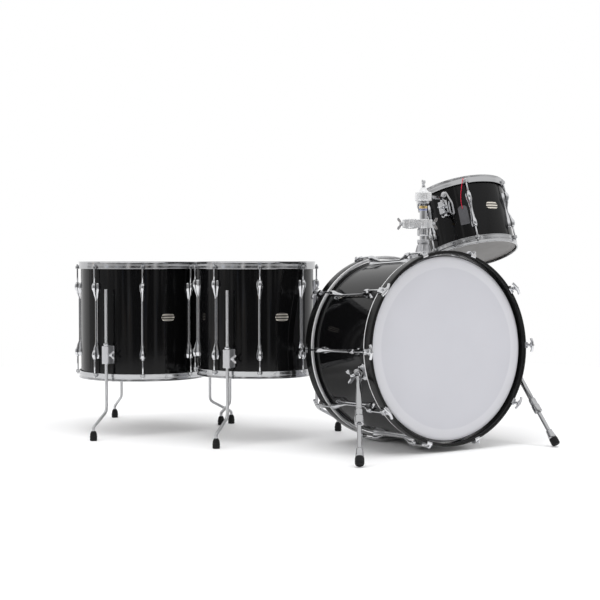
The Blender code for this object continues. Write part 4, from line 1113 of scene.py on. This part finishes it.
# %% Tom holder sizes
POST_SETBACK, POST_RADIUS, POST_BELOW, POST_TOP, COLLAR_ABOVE_BASE = 0.143, 0.0127, 0.160, 0.8186, 0.012
BASE_TOP, CLAMP_BOTTOM, CLAMP_TOP = 0.690, 0.727, 0.7585
BASE_HALF_WIDTH, BASE_HALF_LENGTH, SCREW_ACROSS, SCREW_ALONG = 0.0295, 0.0335, 0.0230, 0.0265

foot_point = BASS @ Vector((0, BASS_RADIUS, HOOP_FACE - POST_SETBACK))
HOLDER = Matrix.Translation((foot_point.x, foot_point.y, 0))
seat, bore = foot_point.z + GAP, POST_RADIUS + GAP
print("post stands at", round(foot_point.x, 3), round(foot_point.y, 3))

# %% [markdown]
# The base is one rough casting: a plate with rounded corners, a flared neck with four ribs, and a screw
# head at each corner. Its plate is turned with the bass drum, and its neck is upright.

# %% Base
base_plate = block((-BASE_HALF_WIDTH, -BASE_HALF_LENGTH, seat + 0.0022),
                   (BASE_HALF_WIDTH, BASE_HALF_LENGTH, seat + 0.0090), 0.008)
flare = spindle([(bore, seat + 0.007), (0.0255, seat + 0.007), (0.0205, seat + 0.022),
                 (0.0182, BASE_TOP - 0.016), (0.0205, BASE_TOP - 0.011), (0.0205, BASE_TOP),
                 (bore, BASE_TOP)], 0.0014, 40)
rib = plate(softened([(0.0160, seat + 0.006), (0.0285, seat + 0.006), (0.0285, seat + 0.012),
                      (0.0205, BASE_TOP - 0.018), (0.0160, BASE_TOP - 0.018)], 0.0015), -0.0022, 0.0022, "y")
screw = spindle([(0, 0.0034), (0.0040, 0.0034), (0.0046, 0), (0, 0)], 0.0006, 6)
screws = [shifted(screw, x, y, seat + 0.0088) for x in (-SCREW_ACROSS, SCREW_ACROSS)
          for y in (-SCREW_ALONG, SCREW_ALONG)]
base = gathered([base_plate, flare, round_about(rib, (45, 135, 225, 315)), *screws])
piece("tom_mount_casting", moved(base, spun(math.degrees(BASS_YAW))), CAST_METAL, "bass_drum", HOLDER,
      bevel=BOLT_BEVEL, stands_for=("tom_mount_base",))
measured("base", base)

# %% [markdown]
# The post is a chromed tube that slides in the base. A ribbed stop collar keeps its height, and a sleeve at
# its top carries a brass band, a blued band and a ring of small dark nuts under its head.

# %% Post
collar_low, collar_high = BASE_TOP + COLLAR_ABOVE_BASE, CLAMP_BOTTOM - GAP
rib = block((0.0185, -0.0016, collar_low + 0.002), (0.0203, 0.0016, collar_high - 0.002))
post = gathered([bush(foot_point.z - POST_BELOW, POST_TOP - 0.004, POST_RADIUS, edge=0.001),
                 bush(collar_low, collar_high, 0.0196, POST_RADIUS),
                 bush(0.8025, POST_TOP - 0.008, 0.0138, POST_RADIUS),
                 bush(POST_TOP - 0.0085, POST_TOP, 0.0206, 0.0040),
                 round_about(rib, range(0, 360, 36))])
piece("post_tube", post, CHROME, "post", HOLDER, bevel=0.0003, stands_for=("mount_post",))
for name, low, high, outer, paint in (("brass", 0.7935, 0.8024, 0.0136, BRASS),
                                      ("blued", 0.7868, 0.7934, 0.0134, BLUED)):
    piece(f"post_{name}_band", bush(low, high, outer, POST_RADIUS - 0.001, 0.0005), paint, "post", HOLDER)
nut = bush(0, 0.0075, 0.0042, edge=0.0006, sides=6)
nuts = [shifted(nut, *polar(0.0135, angle, POST_TOP - 0.0160)) for angle in range(20, 380, 72)]
piece("post_dark_nuts", gathered(nuts), DARK_STEEL, "post", HOLDER)
measured("post", post)

# %% [markdown]
# The clamp is a flat casting round the post, with a split at each end that a wing bolt closes. Its spare
# socket is a real hole: Blender fills the casting's outline round both holes, and the fill is pulled up, so
# that light goes through. A turned ring gives each hole its raised rim.

# %% Clamp
CLAMP_REACH, CLAMP_NEAR, CLAMP_SIDE, SPARE_AT = 0.070, 0.030, 0.0165, -0.042
CLAMP_MIDDLE = (CLAMP_BOTTOM + CLAMP_TOP) / 2

clamp_outline = wide_softened([(-CLAMP_REACH, -CLAMP_SIDE), (CLAMP_NEAR, -CLAMP_SIDE),
                               (CLAMP_NEAR, CLAMP_SIDE), (-CLAMP_REACH, CLAMP_SIDE)], 0.010, 6)
clamp_body = pierced(clamp_outline, [circle(0, 0, bore), circle(SPARE_AT, 0, bore)], CLAMP_BOTTOM + 0.002,
                     CLAMP_TOP - 0.002)
clamp_rims = [shifted(bush(CLAMP_BOTTOM, CLAMP_TOP, 0.0188, bore, 0.002), x) for x in (0, SPARE_AT)]
clamp_end = bush(-0.0065, 0, 0.0105, 0.0034)
clamp_ends = [moved(clamp_end, along(Vector((x, 0, CLAMP_MIDDLE)), Vector((way, 0, 0))))
              for x, way in ((-CLAMP_REACH, -1), (CLAMP_NEAR, 1))]
clamp = gathered([clamp_body, *clamp_rims, *clamp_ends])
piece("accessory_clamp_casting", clamp, SATIN_CHROME, "clamp", HOLDER, bevel=CAST_BEVEL,
      stands_for=("accessory_clamp",))
measured("clamp", clamp)
for end, x, way, shaft in (("left", -CLAMP_REACH, -1, 0.010), ("right", CLAMP_NEAR, 1, CLAMP_NEAR - bore)):
    add_wing_bolt(f"clamp_{end}_wing_bolt", Vector((x + way * GAP, 0, CLAMP_MIDDLE)), Vector((way, 0, 0)),
                  shaft, 0.006, f"clamp_{end}_wing", HOLDER, f"clamp_{end}_bolt", 90, wings=0.042,
                  grip=0.012)

# %% [markdown]
# The housing's mouth faces the tom, so the tom's own frame comes before the housing. The rack tom leans
# towards the drummer, and its arm leaves the shell at a point that both the arm and the mouth have to meet.

# %% Rack tom frame
HOUSING_RADIUS, HOUSING_HEIGHT, HOUSING_LID, LID_BORE = 0.0285, 0.029, 0.016, 0.0036
BALL_RADIUS, BALL_SOCKET_RADIUS, MOUTH_WIDTH, MOUTH_HEIGHT, MOUTH_MARGIN = 0.0110, 0.0129, 0.019, 0.025, 2
RACK_TOM_AT, RACK_TOM_TILT = Vector((0.5734, 0.1069, 0.752)), math.radians(18.9)
RACK_TOM_RADIUS, RACK_TOM_DEPTH = 6 * INCH - UNDERSIZE, 9 * INCH
ARM_RADIUS, ARM_OFF_SHELL, ARM_ANGLE, ARM_LEVEL, ARM_BELOW = 0.0063, 0.028, -28.6 - 90, 0.057, 0.010


def rack_tom_matrix():
    lean = Vector((-math.sin(BASS_YAW), math.cos(BASS_YAW), 0))
    axis = UP * math.cos(RACK_TOM_TILT) + lean * math.sin(RACK_TOM_TILT)
    return framed(RACK_TOM_AT, Vector((0, 1, 0)).cross(axis).normalized(), axis)


TOM = rack_tom_matrix()
housing_low, housing_high = POST_TOP + GAP, POST_TOP + GAP + HOUSING_HEIGHT
lid_top, ball_level = housing_high + HOUSING_LID, POST_TOP + GAP + HOUSING_HEIGHT / 2
mouth_low, mouth_high = ball_level - MOUTH_HEIGHT / 2, ball_level + MOUTH_HEIGHT / 2
bracket_point = TOM @ polar(RACK_TOM_RADIUS, ARM_ANGLE, ARM_LEVEL)
to_tom = math.degrees(math.atan2(bracket_point.y - foot_point.y, bracket_point.x - foot_point.x))
half_mouth = math.degrees(math.asin(MOUTH_WIDTH / 2 / HOUSING_RADIUS)) + MOUTH_MARGIN
print("arm leaves the housing at", round(to_tom, 1), "degrees")

# %% [markdown]
# The housing is a turned drum with a domed lid. The arm's mouth is a slot in its wall, so the wall is
# lofted as an arc that stops at both sides of the slot, with whole discs above and below. Inside sits the
# ball.

# %% Housing
def arc_wall(low, high, outer, inner, start, stop, steps=44):
    """Part of a ring between two angles, with closed ends and softened edges."""
    section = softened([(inner, low), (outer, low), (outer, high), (inner, high)], 0.0012)
    angles = [start + (stop - start) * k / steps for k in range(steps + 1)]
    return lofted([[polar(r, angle, z) for r, z in section] for angle in angles])


wall = arc_wall(mouth_low, mouth_high, HOUSING_RADIUS - 0.0003, BALL_SOCKET_RADIUS + 0.003,
                to_tom + half_mouth, to_tom + 360 - half_mouth)
lid = spindle([(LID_BORE, lid_top), (0.0092, lid_top), (0.0105, lid_top - 0.004),
               (0.0175, housing_high + 0.0015), (HOUSING_RADIUS - 0.002, housing_high),
               (HOUSING_RADIUS, housing_high - 0.002), (HOUSING_RADIUS, mouth_high - 0.0005),
               (LID_BORE, mouth_high - 0.0005)], 0.0012, 48)
floor_disc = bush(housing_low, mouth_low + 0.0005, HOUSING_RADIUS - 0.0006, 0.004)
housing = gathered([wall, floor_disc, lid])
piece("tilter_drum", housing, SATIN_CHROME, "tilter", HOLDER, stands_for=("tilter_housing",))
measured("housing", housing)
add_wing_bolt("tilter_wing_bolt", Vector((0, 0, lid_top + GAP)), UP,
              lid_top - ball_level - BALL_RADIUS - 0.0012, 0.010, "tilter_wing", HOLDER, "tilter_bolt", 68,
              wings=0.034)

# %% [markdown]
# The rack tom is a small tom on the same pattern. It hangs on a six-sided arm that comes level out of the
# housing and turns down into a bracket on the shell. The arm ends in a ball, and both are one piece, as
# forged.

# %% Rack tom and arm
RACK_TOM_LUGS, RACK_TOM_LUG_LENGTH, ARM_SIDES, ARM_BEND = 6, 0.126, 6, 0.012
dress_tom("rack_tom", TOM, 12 * INCH, RACK_TOM_DEPTH, RACK_TOM_LUGS, RACK_TOM_LUG_LENGTH, first_lug=1.4,
          badge_at=(32.0, 0.0105))

out = polar(1, ARM_ANGLE)
ball_local = TOM.inverted() @ (HOLDER @ Vector((0, 0, ball_level)))
upright = out * (RACK_TOM_RADIUS + ARM_OFF_SHELL)
arm_path = rounded_path([ball_local, upright + UP * ARM_LEVEL, upright - UP * ARM_BELOW], ARM_BEND)
ball = turned([(0, BALL_RADIUS), *((BALL_RADIUS * math.sin(t), BALL_RADIUS * math.cos(t))
                                   for t in (math.pi * k / 14 for k in range(1, 14))), (0, -BALL_RADIUS)], 28)
arm = gathered([moved(ball, Matrix.Translation(ball_local)), swept(arm_path, ARM_RADIUS, ARM_SIDES)])
piece("tom_arm_rod", arm, CHROME, "rack_tom", TOM, bevel=CAST_BEVEL, stands_for=("tom_arm",))
measured("arm", arm)

# %% [markdown]
# The bracket is an open frame, narrow above and wide below, with a round bolt at its top. Its nose is split
# into two cheeks round the arm, and the wing bolt presses on the arm through the nose's front. The frame is
# drawn flat, with its opening as a second outline, and then stood up against the shell.

# %% Bracket
BRACKET_WIDTH, BRACKET_LOW, BRACKET_NOSE_TOP, BRACKET_TOP = 0.050, -0.002, 0.043, 0.085
BRACKET_NOSE_WIDTH, BRACKET_NOSE_OUT, BRACKET_SLOT = 0.032, 0.041, 0.0067
FRAME_SHOULDER, FRAME_TOP_HALF, FRAME_BAR = 0.038, 0.0095, 0.0062
wide, nose_wide = BRACKET_WIDTH / 2, BRACKET_NOSE_WIDTH / 2
front, rod_at = RACK_TOM_RADIUS + BRACKET_NOSE_OUT, RACK_TOM_RADIUS + ARM_OFF_SHELL
frame_back, frame_front = RACK_TOM_RADIUS + 0.0012, RACK_TOM_RADIUS + 0.0068
nose_back = RACK_TOM_RADIUS + 0.004
ON_X = Matrix(((0, 0, 1, 0), (1, 0, 0, 0), (0, 1, 0, 0), (0, 0, 0, 1)))


def bracket_frame(margin):
    """Outline of the frame, narrow above and wide below, drawn in by a margin."""
    top, foot = BRACKET_TOP - 0.001 - margin, BRACKET_LOW - 0.002 + margin
    half, peak = wide - margin, FRAME_TOP_HALF - margin * 0.6
    return wide_softened([(-half, foot), (half, foot), (half, FRAME_SHOULDER), (peak, top), (-peak, top),
                          (-half, FRAME_SHOULDER)], 0.006, 5)


bolt_boss = circle(0, BRACKET_TOP - 0.0105, FRAME_TOP_HALF)
frame_bars = [moved(pierced(bracket_frame(0), [bracket_frame(FRAME_BAR)], frame_back, frame_front), ON_X),
              moved(pierced(bolt_boss, [], frame_back, frame_front + 0.001), ON_X)]
nose = [block((nose_back, start, BRACKET_LOW), (front - 0.001, stop, BRACKET_NOSE_TOP), 0.002, "y")
        for start, stop in ((-nose_wide, -BRACKET_SLOT), (BRACKET_SLOT, nose_wide))]
nose += [block((rod_at + BRACKET_SLOT, -nose_wide, BRACKET_LOW + 0.002),
               (front, nose_wide, BRACKET_NOSE_TOP - 0.002), 0.002),
         block((nose_back, -nose_wide, BRACKET_LOW),
               (rod_at - BRACKET_SLOT, nose_wide, BRACKET_NOSE_TOP), 0.002)]
bolt = moved(spindle([(0, 0.0045), (0.0082, 0.0045), (0.0088, 0.0030), (0.0088, 0), (0, 0)], 0.0008, 24),
             along(Vector((frame_front - 0.0004, 0, BRACKET_TOP - 0.009)), Vector((1, 0, 0))))
bracket = gathered([*frame_bars, *nose, bolt])
piece("rack_tom_bracket_frame", moved(bracket, spun(ARM_ANGLE)), CHROME, "rack_tom", TOM, bevel=0.0009,
      stands_for=("rack_tom_bracket",))
measured("bracket", bracket)
bracket_seat = Vector((front + GAP, 0, (BRACKET_LOW + BRACKET_NOSE_TOP) / 2))
add_wing_bolt("bracket_wing_bolt", spun(ARM_ANGLE) @ bracket_seat, out, front - rod_at - ARM_RADIUS - 2 * GAP,
              0.006, "bracket_wing", TOM, "rack_tom_bracket_bolt", grip=0.012)

# %% [markdown]
# A hang tag lies on the rack tom's shell, on red twine that goes up over the hoop to the front rod's head.
# The twine is a curve through listed points, because it is a real cord and its length matters. Each
# point is written as a distance off the shell, an angle and a height.

# %% String
STRING_RADIUS = 0.0011
STRING_ROUTE = (
    (0.0168, -1.0, 0.1112), (0.0186, -1.6, 0.1100), (0.0206, -2.2, 0.1080), (0.0211, -2.8, 0.1030),
    (0.0211, -3.4, 0.0980), (0.0209, -4.0, 0.0928), (0.0196, -4.6, 0.0876), (0.0178, -5.2, 0.0824),
    (0.0159, -5.8, 0.0772), (0.0140, -6.4, 0.0720), (0.0121, -7.0, 0.0668), (0.0102, -7.6, 0.0614),
    (0.0083, -8.1, 0.0558), (0.0067, -8.6, 0.0500), (0.0054, -9.0, 0.0440), (0.0046, -9.3, 0.0380),
    (0.0042, -9.5, 0.0320), (0.0041, -9.6, 0.0260), (0.0040, -9.6, 0.0200), (0.0040, -9.6, 0.0142),
    (0.0040, -9.6, 0.0085))
route = [TOM @ polar(RACK_TOM_RADIUS + off, angle - 90, z) for off, angle, z in STRING_ROUTE]
curve = bpy.data.curves.new("red_string", "CURVE")
curve.dimensions = "3D"
curve.bevel_depth, curve.bevel_resolution, curve.use_fill_caps = STRING_RADIUS, 2, True
spline = curve.splines.new("POLY")
spline.points.add(len(route) - 1)
for spot, point in zip(spline.points, route):
    spot.co = (*point, 1)
curve.materials.append(TWINE.material)
string = bpy.data.objects.new("red_string", curve)
scene.collection.objects.link(string)
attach(string, "rack_tom")
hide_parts("tag_string")
print("string points", len(route))

# %% [markdown]
# The tag is a thin, flat card with its two upper corners cut. It hangs close in front of the shell and is
# left blank.

# %% Tag
TAG_WIDTH, TAG_LENGTH, TAG_THICK = 0.032, 0.068, 0.0012
TAG_OFF_SHELL, TAG_TOP, TAG_CORNER = 0.0012, 0.0197, 0.007
side, foot, shoulder = TAG_WIDTH / 2, TAG_TOP - TAG_LENGTH, TAG_TOP - TAG_CORNER
tag_outline = wide_softened([(-side, foot), (side, foot), (side, shoulder), (side - TAG_CORNER, TAG_TOP),
                             (-side + TAG_CORNER, TAG_TOP), (-side, shoulder)], 0.002, 3)
off = RACK_TOM_RADIUS + TAG_OFF_SHELL
card = moved(plate(tag_outline, off + 0.0002, off + TAG_THICK, "x"), spun(STRING_ROUTE[-1][1] - 90))
tag = piece("blank_tag", card, CARD, "rack_tom", TOM, bevel=0.0002, stands_for=("hang_tag",))
string_length = sum((b - a).length for a, b in zip(route, route[1:]))
print("string", round(1000 * string_length), "mm")

# %% [markdown]
# The white comes from the world. The dark side is a curved card that cameras don't see. It gets paler
# towards its top and its sides, and it carries two pale strips and a few patches of warm and blue clutter,
# because polished metal shows whatever stands round it. A pale floor and three soft lights complete the
# room.

# %% World and floor
FLOOR_RADIUS, FLOOR_SIDES = 3.4, 96

world = bpy.data.worlds.new("white_studio")
world.use_nodes = True
background = world.node_tree.nodes["Background"].inputs
background["Color"].default_value, background["Strength"].default_value = (1.0, 1.0, 1.0, 1), 1.0
scene.world = world
scene.view_settings.view_transform = "Standard"


def stage_mesh(points, faces, paint):
    name = paint.material.name
    mesh = bpy.data.meshes.new(name)
    mesh.from_pydata([tuple(point) for point in points], [], faces)
    mesh.materials.append(paint.material)
    made = bpy.data.objects.new(name, mesh)
    scene.collection.objects.link(made)
    return made


floor_ring = [polar(FLOOR_RADIUS, 360 * k / FLOOR_SIDES) for k in range(FLOOR_SIDES)]
floor_paint = Paint("stage", "pale_floor", (0.93, 0.93, 0.935), roughness=0.6)
stage_mesh(floor_ring, [list(range(FLOOR_SIDES))], floor_paint)
print("floor", FLOOR_RADIUS, "m in radius")

# %% [markdown]
# The card only glows: its base is black and has no gloss. How much it glows is a sum of soft steps, worked
# out from the point's place on it, so the same card looks the same from every camera.

# %% Dark card
CARD_RADIUS, CARD_HALF_TURN, CARD_LOW, CARD_HIGH, CARD_STEPS = 6.0, 108, -3.0, 4.5, 40
STRIP_AT = 0.42

studio = Paint("stage", "dark_card", (0, 0, 0), roughness=0.6, specular_ior_level=0.0, emission_strength=1.0)
sideways, height = (studio.part("X") / CARD_RADIUS).math("ABSOLUTE"), studio.part("Z")
strip = (sideways - STRIP_AT).math("ABSOLUTE").between(0.045, 0.035)
clutter = studio.noise(1.3).between(0.50, 0.55) * height.between(2.4, 1.4)
edge_glow, sky_glow = 0.50 * sideways.between(0.55, 1.0), 0.40 * height.between(1.2, 4.5)
glow = 0.08 + edge_glow + sky_glow + 0.5 * strip + 0.42 * clutter
tint = studio.mix(studio.noise(3.1).between(0.58, 0.62) * clutter, (1, 1, 1), (0.85, 0.68, 0.54))
tint = studio.mix(studio.noise(2.3).between(0.60, 0.64) * clutter, tint, (0.45, 0.62, 0.95))
studio.set("Emission Color", studio.mix(glow, (0, 0, 0), tint))

card_angles = [-90 - CARD_HALF_TURN + 2 * CARD_HALF_TURN * k / CARD_STEPS for k in range(CARD_STEPS + 1)]
card_points = [polar(CARD_RADIUS, angle, z) for z in (CARD_LOW, CARD_HIGH) for angle in card_angles]
upper = CARD_STEPS + 1
dark_card = stage_mesh(card_points, [[k, k + 1, upper + 1 + k, upper + k] for k in range(CARD_STEPS)], studio)
dark_card.visible_camera = False
print("card from", CARD_LOW, "to", CARD_HIGH, "m")

# %% [markdown]
# Three large area lights round off the light from the world. They are kept out of reflections, because a
# mirror finish would show them as hard white squares that the photograph doesn't have.

# %% Soft lights
AIM = Vector((0, 0, 0.4))
for name, at, size, power in (("left_softbox", (-3.2, -2.4, 2.6), (1.6, 2.2), 60),
                              ("right_softbox", (3.4, -1.6, 2.4), (1.2, 2.0), 40),
                              ("top_softbox", (0.2, -0.6, 3.6), (3.0, 2.0), 50)):
    light = bpy.data.lights.new(name, "AREA")
    light.shape, light.size, light.size_y, light.energy = "RECTANGLE", *size, power
    made = bpy.data.objects.new(name, light)
    made.matrix_world = along(Vector(at), Vector(at) - AIM)
    made.visible_camera = made.visible_glossy = False
    scene.collection.objects.link(made)
    print(name, power, "W")

# %% Finish
print("pieces", len(made_pieces))
